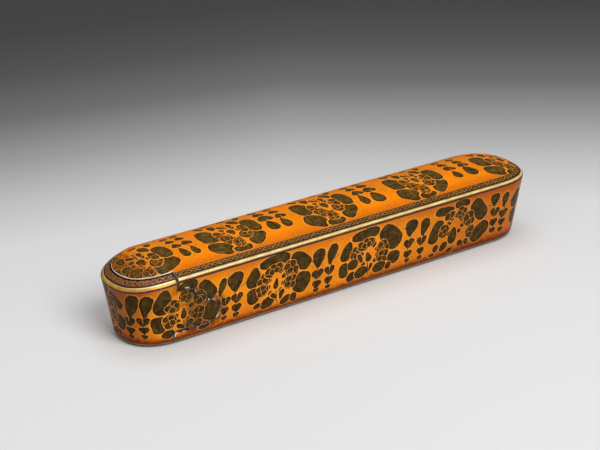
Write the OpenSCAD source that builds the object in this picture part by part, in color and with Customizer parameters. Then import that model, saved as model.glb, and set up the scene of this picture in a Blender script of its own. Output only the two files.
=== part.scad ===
// Sliding pen box (qalamdan) of lacquered papier-mache, with its drawer and writing set.
// Millimetres, +Z up. Origin at the middle of the underside; the drawer's head is at -X.

/* [Box] */
// Overall length, from the drawer's nose to the far end
box_l = 240; // [234:1:252]
// Width across the gilt edge
box_w = 44.2; // [43.4:0.2:47]
// Height of the gilt edge above the table
edge_h = 32.4; // [32:0.2:34]
// How far each side leans in towards the foot
side_draft = 5; // [4.6:0.1:5.2]
// Radius of the rounded foot
foot_r = 4; // [3.6:0.1:4.4]
// Length of each rounded end
end_l = 26; // [25:0.5:28]
// Fullness of the ends, 2 for a plain ellipse
end_full = 2.4; // [2.2:0.1:2.8]
// Thickness of the papier-mache wall
wall_t = 2.5; // [2.3:0.1:2.7]
// Thickness of the bottom board
base_t = 3; // [2.8:0.1:3.2]

/* [Domed top] */
// Height and width of the gilt bevel
gilt_h = 1.6; // [1.4:0.1:1.8]
// Distance of the border's inner edge from the gilt edge
border_in = 4.6; // [4.4:0.1:4.8]
// Rise of the dome above the gilt bevel
crown_h = 6; // [5.6:0.1:7]
// Fullness of the dome across its width
crown_full = 2.3; // [2.1:0.1:2.5]
// How far the ridge sinks at the two ends
ridge_fall = 2.2; // [1.6:0.1:2.6]
// How far the edge dips at the drawer's nose
nose_dip = 3.7; // [3.2:0.1:4]
// Thickness of the domed panel
panel_t = 2.5; // [2.2:0.1:2.7]

/* [Drawer] */
// Distance of the seam round the head from the nose
seam_l = 21.5; // [20:0.5:23]
// Gap left along the seam and round the tongue
seam_gap = 0.35; // [0.3:0.05:0.45]
// How much lower the head's edge sits than the case's
head_set = 0.5; // [0.3:0.1:0.7]
// Height of the cheek's lower edge
cheek_z = 6.6; // [6.2:0.1:7]
// Radius of each lobe of the stepped cheek
lobe_r = 5; // [4.6:0.1:5.2]
// Step of the lobes along the side
lobe_dx = 7.1; // [6.8:0.1:7.3]
// Step of the lobes down the side
lobe_dz = 5.1; // [4.9:0.1:5.3]
// Clearance between the tray and the case
tray_gap = 0.4; // [0.35:0.05:0.5]
// Thickness of the tray's wall
tray_t = 1.5; // [1.3:0.1:1.6]
// Thickness of the tray's floor
floor_t = 2; // [1.8:0.1:2.2]
// Height of the tray's rim above the table
tray_h = 27.2; // [26:0.2:27.6]
// Distance of the divider from the nose
divider_x = 50; // [49:0.5:52]

/* [Inkwell] */
// Length of the inkwell
well_l = 32; // [30:0.5:32.5]
// Width of the inkwell
well_w = 23; // [22:0.5:23.5]
// Height of the inkwell's body
well_h = 11; // [10.4:0.2:11.2]
// Thickness of the brass
brass_t = 1.2; // [1:0.1:1.3]
// Radius of the mouth
mouth_r = 4.6; // [4.4:0.1:4.8]
// Radius of the lid
lid_r = 6.6; // [6.4:0.1:6.8]
// Radius of the hinge pin
pin_r = 0.8; // [0.7:0.05:0.9]

/* [Writing set] */
// Length of a reed pen, as a share of the pen bay
pen_share = 0.905; // [0.84:0.005:0.92]
// Length of the penknife's handle, as a share of the pen bay
handle_share = 0.395; // [0.36:0.005:0.41]
// Length of the penknife's blade, as a share of the pen bay
blade_share = 0.24; // [0.21:0.005:0.25]

/* [Hidden] */
$fn = 48;
R = box_w / 2;
tan_x = box_l / 2 - end_l;
seam_x = -box_l / 2 + seam_l;
lean = atan(side_draft / edge_h);
// Inset of the flat underside: where the foot's rounding meets the table
foot_in = foot_r / cos(lean) + side_draft - foot_r * tan(lean);
// Layers of the drawer, upwards from the table
tray_z = base_t + 0.3;
bed_z = tray_z + floor_t;
// Lobes of the cheek: the middle of lobe k and its top
lobe_n = 3;
function lobe_x(k) = seam_x + 4.6 + lobe_dx * k;
function lobe_top(k) = edge_h - 4.8 - lobe_dz * k;
// Inkwell placing
well_x = -box_l / 2 + divider_x - 1 - well_l;
well_z = bed_z + well_h;
hinge_x = well_x + well_l - 5;
hinge_z = well_z + 1.9;
lid_x = hinge_x - lid_r - 2.7;
knuckle_r = 1.7;
// Pen bay: its start, its width and length on the floor, and the pieces side by side across it
bay_x = -box_l / 2 + divider_x + 5;
bay_w = 2 * (R - side_in(bed_z));
bay_l = box_l / 2 - side_in(bed_z) - bay_x;
pen_l = pen_share * bay_l;
handle_l = handle_share * bay_l;
blade_l = blade_share * bay_l;
pen_r = 0.133 * bay_w;
fine_r = 0.122 * bay_w;
knife_r = 0.14 * bay_w;
rest_t = 0.074 * bay_w;
pen_y = -bay_w / 2 + 1.13 * pen_r;
fine_y = pen_y + pen_r + fine_r + 0.036 * bay_w;
knife_y = fine_y + fine_r + knife_r + 0.022 * bay_w;
// Number of facets in a quarter of an end, and of spans along a side
end_n = 13;
side_n = 10;

// Plan outline. A station is [x of its centre, share of end_l, share of R],
// so the outline at any inset is one list of points.
function signed_pow(v, p) = v < 0 ? -pow(-v, p) : pow(v, p);
function soft(v) = abs(v) < 1e-9 ? 0 : v;
function end_station(a, side) = [
    side * tan_x,
    side * pow(abs(soft(cos(a))), 2 / end_full),
    signed_pow(soft(sin(a)), 2 / end_full)
];
stations = concat(
    [for (k = [-end_n : end_n]) end_station(90 * k / end_n, 1)],
    [for (k = [1 : side_n - 1]) [tan_x - 2 * tan_x * k / side_n, 0, 1]],
    [for (k = [end_n : -1 : -end_n]) end_station(90 * k / end_n, -1)],
    [for (k = [1 : side_n - 1]) [-tan_x + 2 * tan_x * k / side_n, 0, -1]]
);
function at_inset(s, i) = [s[0] + (end_l - i) * s[1], (R - i) * s[2]];
function outline(i) = [for (s = stations) at_inset(s, i)];
// Index of the station mirrored across the long axis
function mirrored(j) = (2 * end_n - j + len(stations)) % len(stations);

// Heights. wall_in: inset of the outer face at height z. dip: sink of the edge at the nose.
function wall_in(z) = side_draft * (1 - z / edge_h);
function side_in(z) = wall_in(z) + wall_t + tray_gap + tray_t;
function dip(x) = x < seam_x ? nose_dip * pow((seam_x - x) / seam_l, 1.4) : 0;
function rise(i) = i <= gilt_h ? i
    : gilt_h + crown_h * (1 - pow((R - i) / (R - gilt_h), crown_full));
function sag(x, i) = ridge_fall * pow(2 * x / box_l, 2)
    * (1 - pow((R - i) / (R - border_in), 2));

// Sections are lists of [inset, height, share of the nose's dip].
foot_n = 5;
function foot_arc() = [for (k = [0 : foot_n])
    let (a = 270 - (90 - lean) * k / foot_n)
    [foot_in + foot_r * cos(a), foot_r + foot_r * sin(a), 0]];
function shell_section(t, shelf, lip, set) = let (under = edge_h - 1.5) concat(
    foot_arc(),
    [[0, edge_h - set, 1], [gilt_h, edge_h + gilt_h - set, 1]],
    [for (k = [1 : 3]) let (i = gilt_h + (lip - gilt_h) * k / 3) [i, edge_h + rise(i) - set, 1]],
    [[lip, edge_h + rise(lip) - panel_t - set, 1],
     [wall_in(under) + t, under - set, 1],
     [wall_in(shelf) + t, shelf, 0],
     [foot_in, shelf, 0]]
);
function tray_section() = [for (p = [[0, bed_z], [0, tray_h], [tray_t, tray_h], [tray_t, bed_z]])
    [wall_in(p[1]) + wall_t + tray_gap + p[0], p[1], 0]];

// Solid swept by a closed section round the whole outline
module swept(section) {
    n = len(stations);
    m = len(section);
    points = [for (s = stations) for (p = section)
        let (q = at_inset(s, p[0])) [q[0], q[1], p[1] - p[2] * dip(q[0])]];
    faces = [for (j = [0 : n - 1]) for (k = [0 : m - 1])
        let (a = j * m + k, b = j * m + (k + 1) % m,
             c = (j + 1) % n * m + (k + 1) % m, d = (j + 1) % n * m + k)
        each [[a, b, c], [a, c, d]]];
    polyhedron(points, faces, convexity = 8);
}

// Domed panel between two heights, from the inset edge to the ridge
module domed_panel(edge) {
    n = len(stations);
    rings = [edge, edge + 2, edge + 4.5, edge + 7.5, edge + 11, edge + 14.5, R - 0.4];
    top = [for (i = rings) for (s = stations)
        let (q = at_inset(s, i)) [q[0], q[1], edge_h + rise(i) - dip(q[0]) - sag(q[0], i)]];
    points = concat(top, [for (p = top) [p[0], p[1], p[2] - panel_t]]);
    r = len(rings);
    low = r * n;
    last = (r - 1) * n;
    skin = [for (k = [0 : r - 2]) for (j = [0 : n - 1])
        let (a = k * n + j, b = k * n + (j + 1) % n,
             c = (k + 1) * n + (j + 1) % n, d = (k + 1) * n + j)
        each [[a, c, b], [a, d, c]]];
    first = end_n;
    final = end_n + n / 2;
    ridge = [for (j = [first : final - 1])
        let (a = last + j, b = last + (j + 1) % n,
             c = last + mirrored(j + 1), d = last + mirrored(j))
        each concat(a == d ? [] : [[a, d, b]], b == c ? [] : [[b, d, c]])];
    cap = concat(skin, ridge);
    rim = [for (j = [0 : n - 1]) let (b = (j + 1) % n)
        each [[j, b, low + b], [j, low + b, low + j]]];
    under = [for (f = cap) [low + f[0], low + f[2], low + f[1]]];
    polyhedron(points, concat(cap, rim, under), convexity = 6);
}

// Outline of the drawer's head in side view, as far as the stepped cheeks
module head_outline(gap) {
    translate([-box_l, -10]) square([box_l + seam_x + gap, 100]);
    for (k = [0 : lobe_n - 1]) {
        translate([lobe_x(k), lobe_top(k) - lobe_r]) circle(r = lobe_r + gap);
        translate([seam_x - 1, cheek_z - gap])
            square([lobe_x(k) - seam_x + 1, lobe_top(k) - cheek_z + 2 * gap]);
    }
}
module head_zone(gap) {
    translate([0, box_w, 0]) rotate([90, 0, 0])
        linear_extrude(2 * box_w) head_outline(gap);
}
// Everything beyond a plane across the box
module beyond(x) {
    translate([x, -box_w, -10]) cube([2 * box_l, 2 * box_w, 100]);
}
// Rectangle with round corners, standing on its low corner
module rounded(l, w, r) {
    translate([r, 0]) square([l - 2 * r, w]);
    translate([0, r]) square([l, w - 2 * r]);
    for (x = [r, l - r], y = [r, w - r]) translate([x, y]) circle(r = r);
}
// Cylinder along +Y from y
module across(x, y, z, r, l) {
    translate([x, y, z]) rotate([-90, 0, 0]) cylinder(h = l, r = r);
}
// Cylinder along +X
module along(x, y, z, r, l) {
    translate([x, y, z]) rotate([0, 90, 0]) cylinder(h = l, r = r);
}

// Case: wall with the turned-in border, bottom board, domed panel with its tongue
module case_shell() {
    color("#d9780f") difference() {
        swept(shell_section(wall_t, base_t, border_in, 0));
        head_zone(seam_gap);
    }
}
module case_base() {
    color("#5a3210") intersection() {
        linear_extrude(base_t) polygon(outline(foot_in));
        beyond(seam_x + seam_gap);
    }
}
module case_cover() {
    color("#f0860c") domed_panel(border_in);
}

// Drawer: head with its cheeks, head's bottom board, tray
module drawer_head() {
    color("#c8680f") intersection() {
        swept(shell_section(wall_t + tray_gap, tray_z, border_in - seam_gap, head_set));
        head_zone(0);
    }
}
module head_base() {
    color("#5a3210") difference() {
        linear_extrude(tray_z) polygon(outline(foot_in));
        beyond(seam_x);
    }
}
module tray_floor() {
    color("#7a2a18") translate([0, 0, tray_z])
        linear_extrude(floor_t) polygon(outline(wall_in(tray_z) + wall_t + tray_gap + 0.05));
}
module tray_wall() {
    color("#8a2f1a") intersection() {
        swept(tray_section());
        beyond(seam_x + 1.5);
    }
}
module tray_divider() {
    top = bed_z + 0.6 * (tray_h - bed_z);
    color("#8a2f1a") translate([-box_l / 2 + divider_x, 0, 0]) difference() {
        rotate([90, 0, 90]) linear_extrude(tray_t) polygon([
            [-R + side_in(bed_z), bed_z], [R - side_in(bed_z), bed_z],
            [R - side_in(top), top], [-R + side_in(top), top]]);
        along(-1, 0, top + 0.18 * bay_w, 0.31 * bay_w, tray_t + 2);
    }
}

// Inkwell: hollow brass body, collar round its mouth, hinged lid
module inkwell_body() {
    color("#b88a3a") {
        difference() {
            translate([well_x, -well_w / 2, bed_z]) linear_extrude(well_h)
                rounded(well_l, well_w, 4);
            translate([well_x + brass_t, -well_w / 2 + brass_t, bed_z + brass_t])
                linear_extrude(well_h - 2 * brass_t)
                rounded(well_l - 2 * brass_t, well_w - 2 * brass_t, 4 - brass_t);
            translate([lid_x, 0, bed_z + brass_t + 1]) cylinder(h = well_h, r = mouth_r);
        }
        for (y = [-4.9, 2.2]) difference() {
            union() {
                across(hinge_x, y, hinge_z, knuckle_r, 2.7);
                translate([hinge_x - knuckle_r, y, well_z])
                    cube([2 * knuckle_r, 2.7, hinge_z - well_z]);
            }
            across(hinge_x, y - 1, hinge_z, pin_r, 5);
        }
    }
}
module inkwell_collar() {
    color("#c99a45") translate([lid_x, 0, well_z]) difference() {
        cylinder(h = 1.2, r = lid_r - 0.4);
        translate([0, 0, -1]) cylinder(h = 4, r = mouth_r);
    }
}
module inkwell_lid() {
    color("#c99a45") difference() {
        union() {
            translate([lid_x, 0, well_z + 1.4]) cylinder(h = 1.2, r = lid_r);
            translate([lid_x + lid_r - 1.5, -2, well_z + 1.4])
                cube([hinge_x - lid_x - lid_r + 1.5, 4, 1.2]);
            across(hinge_x, -2, hinge_z, knuckle_r, 4);
        }
        across(hinge_x, -3, hinge_z, pin_r + 0.05, 6);
        translate([lid_x, 0, well_z]) cylinder(h = 5, r = 0.7);
    }
}
module lid_knob() {
    color("#d8ac55") translate([lid_x, 0, well_z + 2.6]) rotate_extrude() polygon(concat(
        [[0, -1.2], [0.7, -1.2], [0.7, 0], [1.5, 0], [1, 0.7]],
        [for (a = [-50 : 20 : 90]) [1.6 * cos(a), 2 + 1.6 * sin(a)]],
        [[0, 3.6]]));
}
module hinge_pin() {
    color("#8d6a2c") across(hinge_x, -4.9, hinge_z, pin_r, 9.8);
}
module silk_wad() {
    edge = 0.17 * well_h;
    flat = well_w / 2 - brass_t - edge - 1.8;
    color("#1c1512") translate([lid_x, 0, bed_z + brass_t]) rotate_extrude() polygon(concat(
        [[0, 0]], [for (a = [-80 : 20 : 80]) [flat + edge * cos(a), edge + edge * sin(a)]],
        [[0, 2.1 * edge]]));
}

// Reed pen along +X with its cut nib at the far end, its axis on the given line
module reed(r, y, nib) {
    z = bed_z + 1.04 * r + 0.05;
    translate([bay_x, y, z]) rotate([0, 90, 0]) difference() {
        rotate_extrude() polygon([[0, 0], [0.86 * r, 0], [r, 0.17 * r], [0.95 * r, pen_l * 0.36],
            [1.04 * r, pen_l * 0.37], [0.97 * r, pen_l * 0.38], [0.86 * r, pen_l], [0, pen_l]]);
        translate([0, 0, pen_l - 9.5 * r]) cylinder(h = 12 * r, r = 0.58 * r);
        translate([-2 * r, -2 * r, pen_l - 6.7 * r]) rotate([0, 9, 0])
            translate([-3 * r, 0, 0]) cube([4.6 * r, 4 * r, 12 * r]);
        for (s = [-1, 1]) translate([0, s * nib / 2, pen_l]) rotate([s * 14, 0, 0])
            translate([-3 * r, s > 0 ? 0 : -2 * r, -4 * r]) cube([6 * r, 2 * r, 6 * r]);
    }
}
module reed_pen_broad() {
    color("#a9743c") reed(pen_r, pen_y, 0.83 * pen_r);
}
module reed_pen_fine() {
    color("#8f5a2c") reed(fine_r, fine_y, 0.48 * fine_r);
}

// Penknife: bone handle, brass ferrule, steel blade with its tang in the handle
knife_z = bed_z + knife_r + 0.05;
tang_r = 0.26 * knife_r;
tang_l = 0.36 * handle_l;
ferrule_l = 1.3 * knife_r;
module knife_handle() {
    color("#e6d9b8") translate([bay_x, knife_y, knife_z]) rotate([0, 90, 0]) difference() {
        rotate_extrude() polygon([[0, 0], [0.68 * knife_r, 0], [0.92 * knife_r, 0.3 * knife_r],
            [knife_r, handle_l * 0.3], [0.82 * knife_r, handle_l * 0.8],
            [0.76 * knife_r, handle_l], [0, handle_l]]);
        translate([0, 0, handle_l - tang_l]) cylinder(h = 2 * tang_l, r = tang_r);
    }
}
module knife_ferrule() {
    color("#c99a45") translate([bay_x + handle_l, knife_y, knife_z]) rotate([0, 90, 0])
        difference() {
            cylinder(h = ferrule_l, r1 = 0.82 * knife_r, r2 = 0.7 * knife_r);
            translate([0, 0, -1]) cylinder(h = ferrule_l + 2, r = tang_r);
        }
}
module knife_blade() {
    back = 0.68 * knife_r;
    edge = -0.84 * knife_r;
    color("#b9bcc0") translate([bay_x + handle_l, knife_y, knife_z]) {
        rotate([0, 90, 0]) translate([0, 0, -tang_l])
            cylinder(h = tang_l + ferrule_l + tang_r, r = tang_r);
        translate([ferrule_l, 0, -tang_r / 2]) linear_extrude(tang_r) polygon([
            [0, 0.9 * edge], [2 * tang_r, edge], [0.8 * blade_l, edge],
            [0.9 * blade_l, 0.45 * edge], [blade_l, back], [2 * tang_r, back], [0, 0.9 * back]]);
    }
}
// Bone rest for trimming nibs, leaning on the tray's side, with a ledge for the reed
module nib_rest() {
    foot_y = R - side_in(bed_z) - 0.15;
    rest_l = 0.57 * pen_l;
    rest_h = 0.33 * bay_w;
    color("#ece0c2") translate([bay_x + 4, foot_y, bed_z]) rotate([-lean, 0, 0])
        translate([0, -rest_t, 0.2 * rest_t]) {
            cube([rest_l, rest_t, rest_h]);
            translate([0.68 * rest_l, -0.6 * rest_t, 0.2 * rest_h])
                cube([0.18 * rest_l, 0.6 * rest_t, 0.56 * rest_h]);
        }
}
// Small brass spoon for wetting the ink, its stem ending level with the pens
spoon_r = 0.155 * bay_w;
stem_l = 0.15 * pen_l;
module ink_spoon() {
    end = bay_x + pen_l - 0.03 * pen_l;
    color("#c99a45") translate([end - stem_l - 0.86 * spoon_r, knife_y, bed_z + 1.04 * spoon_r]) {
        difference() {
            sphere(r = spoon_r);
            sphere(r = 0.83 * spoon_r);
            translate([-2 * spoon_r, -2 * spoon_r, 0]) cube(4 * spoon_r);
        }
        translate([0.86 * spoon_r, 0, -0.22 * spoon_r]) rotate([0, 90, 0])
            cylinder(h = stem_l, r = 0.21 * spoon_r);
    }
}

case_shell();
case_base();
case_cover();
drawer_head();
head_base();
tray_floor();
tray_wall();
tray_divider();
inkwell_body();
inkwell_collar();
inkwell_lid();
lid_knob();
hinge_pin();
silk_wad();
reed_pen_broad();
reed_pen_fine();
knife_handle();
knife_ferrule();
knife_blade();
nib_rest();
ink_spoon();
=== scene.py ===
from functools import partial
from math import asin, atan, atan2, cos, hypot, pi, radians, sin, tan

import bmesh
import bpy
from mathutils import Matrix, Vector, noise


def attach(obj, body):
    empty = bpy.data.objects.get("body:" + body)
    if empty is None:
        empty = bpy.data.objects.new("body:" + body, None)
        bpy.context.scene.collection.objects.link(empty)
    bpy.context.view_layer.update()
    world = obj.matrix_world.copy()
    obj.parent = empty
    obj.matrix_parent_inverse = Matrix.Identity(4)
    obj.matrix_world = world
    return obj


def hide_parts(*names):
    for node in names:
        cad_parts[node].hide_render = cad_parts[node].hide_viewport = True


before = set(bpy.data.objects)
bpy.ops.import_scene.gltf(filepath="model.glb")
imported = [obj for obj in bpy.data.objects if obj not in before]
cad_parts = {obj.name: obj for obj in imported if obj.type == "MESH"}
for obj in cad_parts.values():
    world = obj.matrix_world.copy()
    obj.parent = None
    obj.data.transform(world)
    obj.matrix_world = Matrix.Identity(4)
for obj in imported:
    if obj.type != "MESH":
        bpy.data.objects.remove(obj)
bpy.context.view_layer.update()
print("frame loaded:", len(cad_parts), "pieces")

mm = 0.001


# sRGB hex to the linear values that the shaders take
def linear(hexColour):
    parts = [int(hexColour[k:k + 2], 16) / 255 for k in (1, 3, 5)]
    return tuple(c / 12.92 if c < 0.04045 else ((c + 0.055) / 1.055) ** 2.4 for c in parts) + (1.0,)


# the setting that a mode written after a kind's dot goes to
modeNames = {"Math": "operation", "VectorMath": "operation", "Mix": "data_type",
             "MapRange": "interpolation_type", "TexVoronoi": "feature"}


# adds one node: kind and mode, inputs in order, fixed or linked, then settings and inputs by name;
# gives its first output in use
def addNode(tree, kind, *values, **named):
    kind, dot, mode = kind.partition(".")
    node = tree.nodes.new("ShaderNode" + kind)
    if mode:
        setattr(node, modeNames[kind], mode)
    for key in [key for key in named if hasattr(node, key)]:
        setattr(node, key, named.pop(key))
    pairs = list(zip([s for s in node.inputs if s.enabled], values))
    for socket, value in pairs + [(node.inputs[key], value) for key, value in named.items()]:
        if isinstance(value, bpy.types.NodeSocket):
            tree.links.new(value, socket)
        else:
            socket.default_value = linear(value) if isinstance(value, str) else value
    return next((s for s in node.outputs if s.enabled), None)


# a node group with its sockets as (name, type), and what adds nodes to it
def startGroup(name, outs, ins=()):
    group = bpy.data.node_groups.new(name, "ShaderNodeTree")
    for way, sockets in (("INPUT", ins), ("OUTPUT", outs)):
        for label, kind in sockets:
            group.interface.new_socket(label, in_out=way, socket_type="NodeSocket" + kind)
    return group, partial(addNode, group)


def endGroup(group, *results):
    for socket, result in zip(group.nodes.new("NodeGroupOutput").inputs, results):
        group.links.new(result, socket)
    return group


# a point's place on the piece, in millimetres
def placeInMm(add):
    return add("VectorMath.SCALE", add("TexCoord").node.outputs["Object"], 1 / mm)


# a material with its fixed values, and what adds nodes to it
def startMaterial(name, metallic=0.0, roughness=0.4, coat=0.0, coatRoughness=0.2, specular=0.5):
    material = bpy.data.materials.new(name)
    material.use_nodes = True
    inputs = material.node_tree.nodes["Principled BSDF"].inputs
    inputs["Metallic"].default_value = metallic
    inputs["Roughness"].default_value = roughness
    inputs["Coat Weight"].default_value = coat
    inputs["Coat Roughness"].default_value = coatRoughness
    inputs["Specular IOR Level"].default_value = specular
    return material, partial(addNode, material.node_tree)


# links what was worked out to the shader, with a relief of the given strength and depth in millimetres
def endMaterial(material, ends, height, strength, depth):
    tree = material.node_tree
    ends["Normal"] = addNode(tree, "Bump", Strength=strength, Distance=depth * mm, Height=height)
    for label, result in ends.items():
        tree.links.new(result, tree.nodes["Principled BSDF"].inputs[label])
    return material


# the box, in millimetres, as it is built
boxShape = {
    "length": 240.0,
    "width": 44.2,
    "edgeHeight": 32.4,
    "sideDraft": 5.0,
    "footRadius": 4.0,
    "endLength": 26.0,
    "endFullness": 2.4,
    "endRun": 35.1,   # a quarter of an end, along the wall at half height
    "wall": 2.5,
    "gilt": 1.6,
    "border": 4.6,
    "band": 3.8,      # inner edge of the painted band on the case
    "crown": 6.0,
    "crownFullness": 2.3,
    "ridgeFall": 2.2,
    "noseDip": 3.7,
    "noseCurve": 1.4,
    "panel": 2.5,
    "seam": 21.5,
    "gap": 0.35,
    "headSet": 0.5,
    "cheekFoot": 6.6,
    "lobes": 3,
    "lobeStart": 4.6,
    "lobeTop": 4.8,
    "lobeRadius": 5.0,
    "lobeStep": 7.1,
    "lobeDrop": 5.1,
    "trayGap": 0.4,
    "trayWall": 1.5,
    "trayBed": 5.3,
    "trayRim": 27.2,
}
halfWidth = boxShape["width"] / 2
straight = boxShape["length"] / 2 - boxShape["endLength"]
seamX = -boxShape["length"] / 2 + boxShape["seam"]
edgeHeight = boxShape["edgeHeight"]
endRun = boxShape["endRun"]
leanAngle = atan(boxShape["sideDraft"] / edgeHeight)
footInset = (boxShape["footRadius"] / cos(leanAngle) + boxShape["sideDraft"]
             - boxShape["footRadius"] * tan(leanAngle))
footTop = boxShape["footRadius"] * (1 - sin(leanAngle))
meshDetail = {"merge": 0.002, "seamMerge": 0.04, "cutMerge": 0.003, "slice": 1e-7,  # mm, the last in metres
              "sharp": 35, "pieceSharp": 32, "bevelFrom": 40}  # degrees between faces


# stations round the outline: middle of the end, share of its length, share of the half width
def outlineStations(endSteps, sideSteps):
    def onEnd(k, side):
        a = pi / 2 * k / endSteps
        c, s = abs(cos(a)), abs(sin(a))
        c = 0.0 if c < 1e-9 else c ** (2 / boxShape["endFullness"])
        s = 0.0 if s < 1e-9 else s ** (2 / boxShape["endFullness"])
        return (side * straight, side * c, s if k > 0 else -s)
    steps = range(-endSteps, endSteps + 1)
    along = [straight - 2 * straight * k / sideSteps for k in range(1, sideSteps)]
    return ([onEnd(k, 1) for k in steps] + [(x, 0.0, 1.0) for x in along]
            + [onEnd(k, -1) for k in reversed(steps)] + [(-x, 0.0, -1.0) for x in along])


def wallInset(height):
    return boxShape["sideDraft"] * (1 - height / edgeHeight)


def noseDip(x):
    past = max(0.0, seamX - x) / boxShape["seam"]
    return boxShape["noseDip"] * past ** boxShape["noseCurve"]


def domeRise(inset):
    if inset <= boxShape["gilt"]:
        return inset
    share = max(0.0, (halfWidth - inset) / (halfWidth - boxShape["gilt"]))
    return boxShape["gilt"] + boxShape["crown"] * (1 - share ** boxShape["crownFullness"])


def ridgeSag(x, inset):
    share = max(0.0, (halfWidth - inset) / (halfWidth - boxShape["border"]))
    return boxShape["ridgeFall"] * (2 * x / boxShape["length"]) ** 2 * (1 - share ** 2)


# draws a line of points in the upright plane and spins it once round the upright axis
def spun(points, closed, steps):
    bm = bmesh.new()
    ring = [bm.verts.new((x, 0.0, z)) for x, z in points]
    edges = [bm.edges.new(pair) for pair in zip(ring, ring[1:] + ring[:1] if closed else ring[1:])]
    bmesh.ops.spin(bm, geom=ring + edges, cent=(0, 0, 0), axis=(0, 0, 1), dvec=(0, 0, 0), angle=2 * pi,
                   steps=steps, use_merge=True, use_duplicate=False)
    return bm


def cleaned(bm):
    bmesh.ops.remove_doubles(bm, verts=bm.verts, dist=meshDetail["merge"] * mm)
    bmesh.ops.recalc_face_normals(bm, faces=bm.faces)
    return bm


# spins a drawn section and lays it on the box's outline;
# a section is (inset, height, finish of the stretch that follows)
def sweepSection(section, stations, closed, finishes, place):
    hub = 100.0  # radius that the section is spun at
    count = len(stations)
    bm = spun([(hub - inset, height) for inset, height, label in section], closed, count)
    ends = section[1:] + section[:1] if closed else section[1:]
    middles = [((a[0] + b[0]) / 2, (a[1] + b[1]) / 2, finishes.index(a[2])) for a, b in zip(section, ends)]
    squeeze = cos(pi / count)
    for face in bm.faces:
        c = face.calc_center_median()
        inset = hub - hypot(c.x, c.y) / squeeze
        face.material_index = min(middles, key=lambda m: hypot(m[0] - inset, m[1] - c.z))[2]
        face.smooth = True
    for v in bm.verts:
        inset = hub - hypot(v.co.x, v.co.y)
        station = stations[round((atan2(v.co.y, v.co.x) % (2 * pi)) / (2 * pi) * count) % count]
        x = station[0] + (boxShape["endLength"] - inset) * station[1]
        y = (halfWidth - inset) * station[2]
        v.co = Vector((x, y, place(x, inset, v.co.z))) * mm
    return cleaned(bm)


def wallPlace(x, inset, height):
    share = min(1.0, max(0.0, (height - footTop) / (edgeHeight - footTop)))
    return height - share * noseDip(x)


# the panel's edge is rounded round the tongue only; along the case it lies flush with the border
def panelPlace(x, inset, height):
    flush = edgeHeight + domeRise(inset)
    if x > seamX + 0.2 and height > flush - 0.8:
        height = flush
    return height - noseDip(x) - ridgeSag(x, inset)


def toObject(bm, name, materials, sharpAngle=meshDetail["sharp"]):
    mesh = bpy.data.meshes.new(name)
    bm.to_mesh(mesh)
    bm.free()
    for material in materials:
        mesh.materials.append(material)
    mesh.set_sharp_from_angle(angle=radians(sharpAngle))
    obj = bpy.data.objects.new(name, mesh)
    bpy.context.scene.collection.objects.link(obj)
    return obj


# a flat outline pushed out along a direction, in millimetres
def extruded(points, along):
    bm = bmesh.new()
    face = bm.faces.new([bm.verts.new([c * mm for c in point]) for point in points])
    swept = bmesh.ops.extrude_face_region(bm, geom=[face])["geom"]
    bmesh.ops.translate(bm, vec=[c * mm for c in along],
                        verts=[g for g in swept if isinstance(g, bmesh.types.BMVert)])
    bmesh.ops.recalc_face_normals(bm, faces=bm.faces)
    return bm


def bevelled(bm, edges, width, segments):
    return bmesh.ops.bevel(bm, geom=edges, offset=width * mm, offset_type="OFFSET", segments=segments,
                           profile=0.5, affect="EDGES", material=-1, clamp_overlap=True)["faces"]


# cuts all faces along a plane through a point in metres and gives what lies on it
def sliced(bm, point, aim, clear=False):
    return bmesh.ops.bisect_plane(bm, geom=bm.verts[:] + bm.edges[:] + bm.faces[:], dist=meshDetail["slice"],
                                  plane_co=point, plane_no=aim, clear_inner=clear)["geom_cut"]


# joins a tool to an object, cuts it out of it or keeps what they share
def carve(obj, operation, tool, materialMode="INDEX"):
    step = obj.modifiers.new("step", "BOOLEAN")
    step.operation, step.solver, step.object = operation, "EXACT", tool
    step.material_mode = materialMode
    fresh = bpy.data.meshes.new_from_object(obj.evaluated_get(bpy.context.evaluated_depsgraph_get()))
    obj.modifiers.clear()
    old, obj.data = obj.data, fresh
    bpy.data.meshes.remove(old)
    bpy.data.objects.remove(tool)


def ridePiece(piece, body, node):
    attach(piece, body)
    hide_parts(node)
    print(piece.name, len(piece.data.polygons), "faces")


# the lobes of the drawer head's stepped cheeks, seen from the side
lobeMiddles = [(seamX + boxShape["lobeStart"] + boxShape["lobeStep"] * k,
                edgeHeight - boxShape["lobeTop"] - boxShape["lobeDrop"] * k - boxShape["lobeRadius"])
               for k in range(boxShape["lobes"])]


# side view of the drawer's head with its cheeks, as one closed line that runs well past the box
def headOutline(gap):
    r, steps = boxShape["lobeRadius"] + gap, 12
    front, under, over = -200, -20, 90
    points = [(front, under), (front, over), (seamX + gap, over), (seamX + gap, lobeMiddles[0][1] + r)]
    # each lobe ends where the top of the next one meets it, or drops straight down to it
    for (x, z), after in zip(lobeMiddles, lobeMiddles[1:] + [None]):
        level = after[1] + r if after else z - r
        last = asin(max(0.0, level - z) / r) if after else -pi / 2
        for step in range(steps + 1):
            a = pi / 2 + (last - pi / 2) * step / steps
            points.append((x + r * cos(a), z + r * sin(a)))
        if after and level < z:
            points.append((points[-1][0], level))
    foot = boxShape["cheekFoot"] - gap
    return points + [(lobeMiddles[-1][0], foot), (seamX + gap, foot), (seamX + gap, under)]


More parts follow.
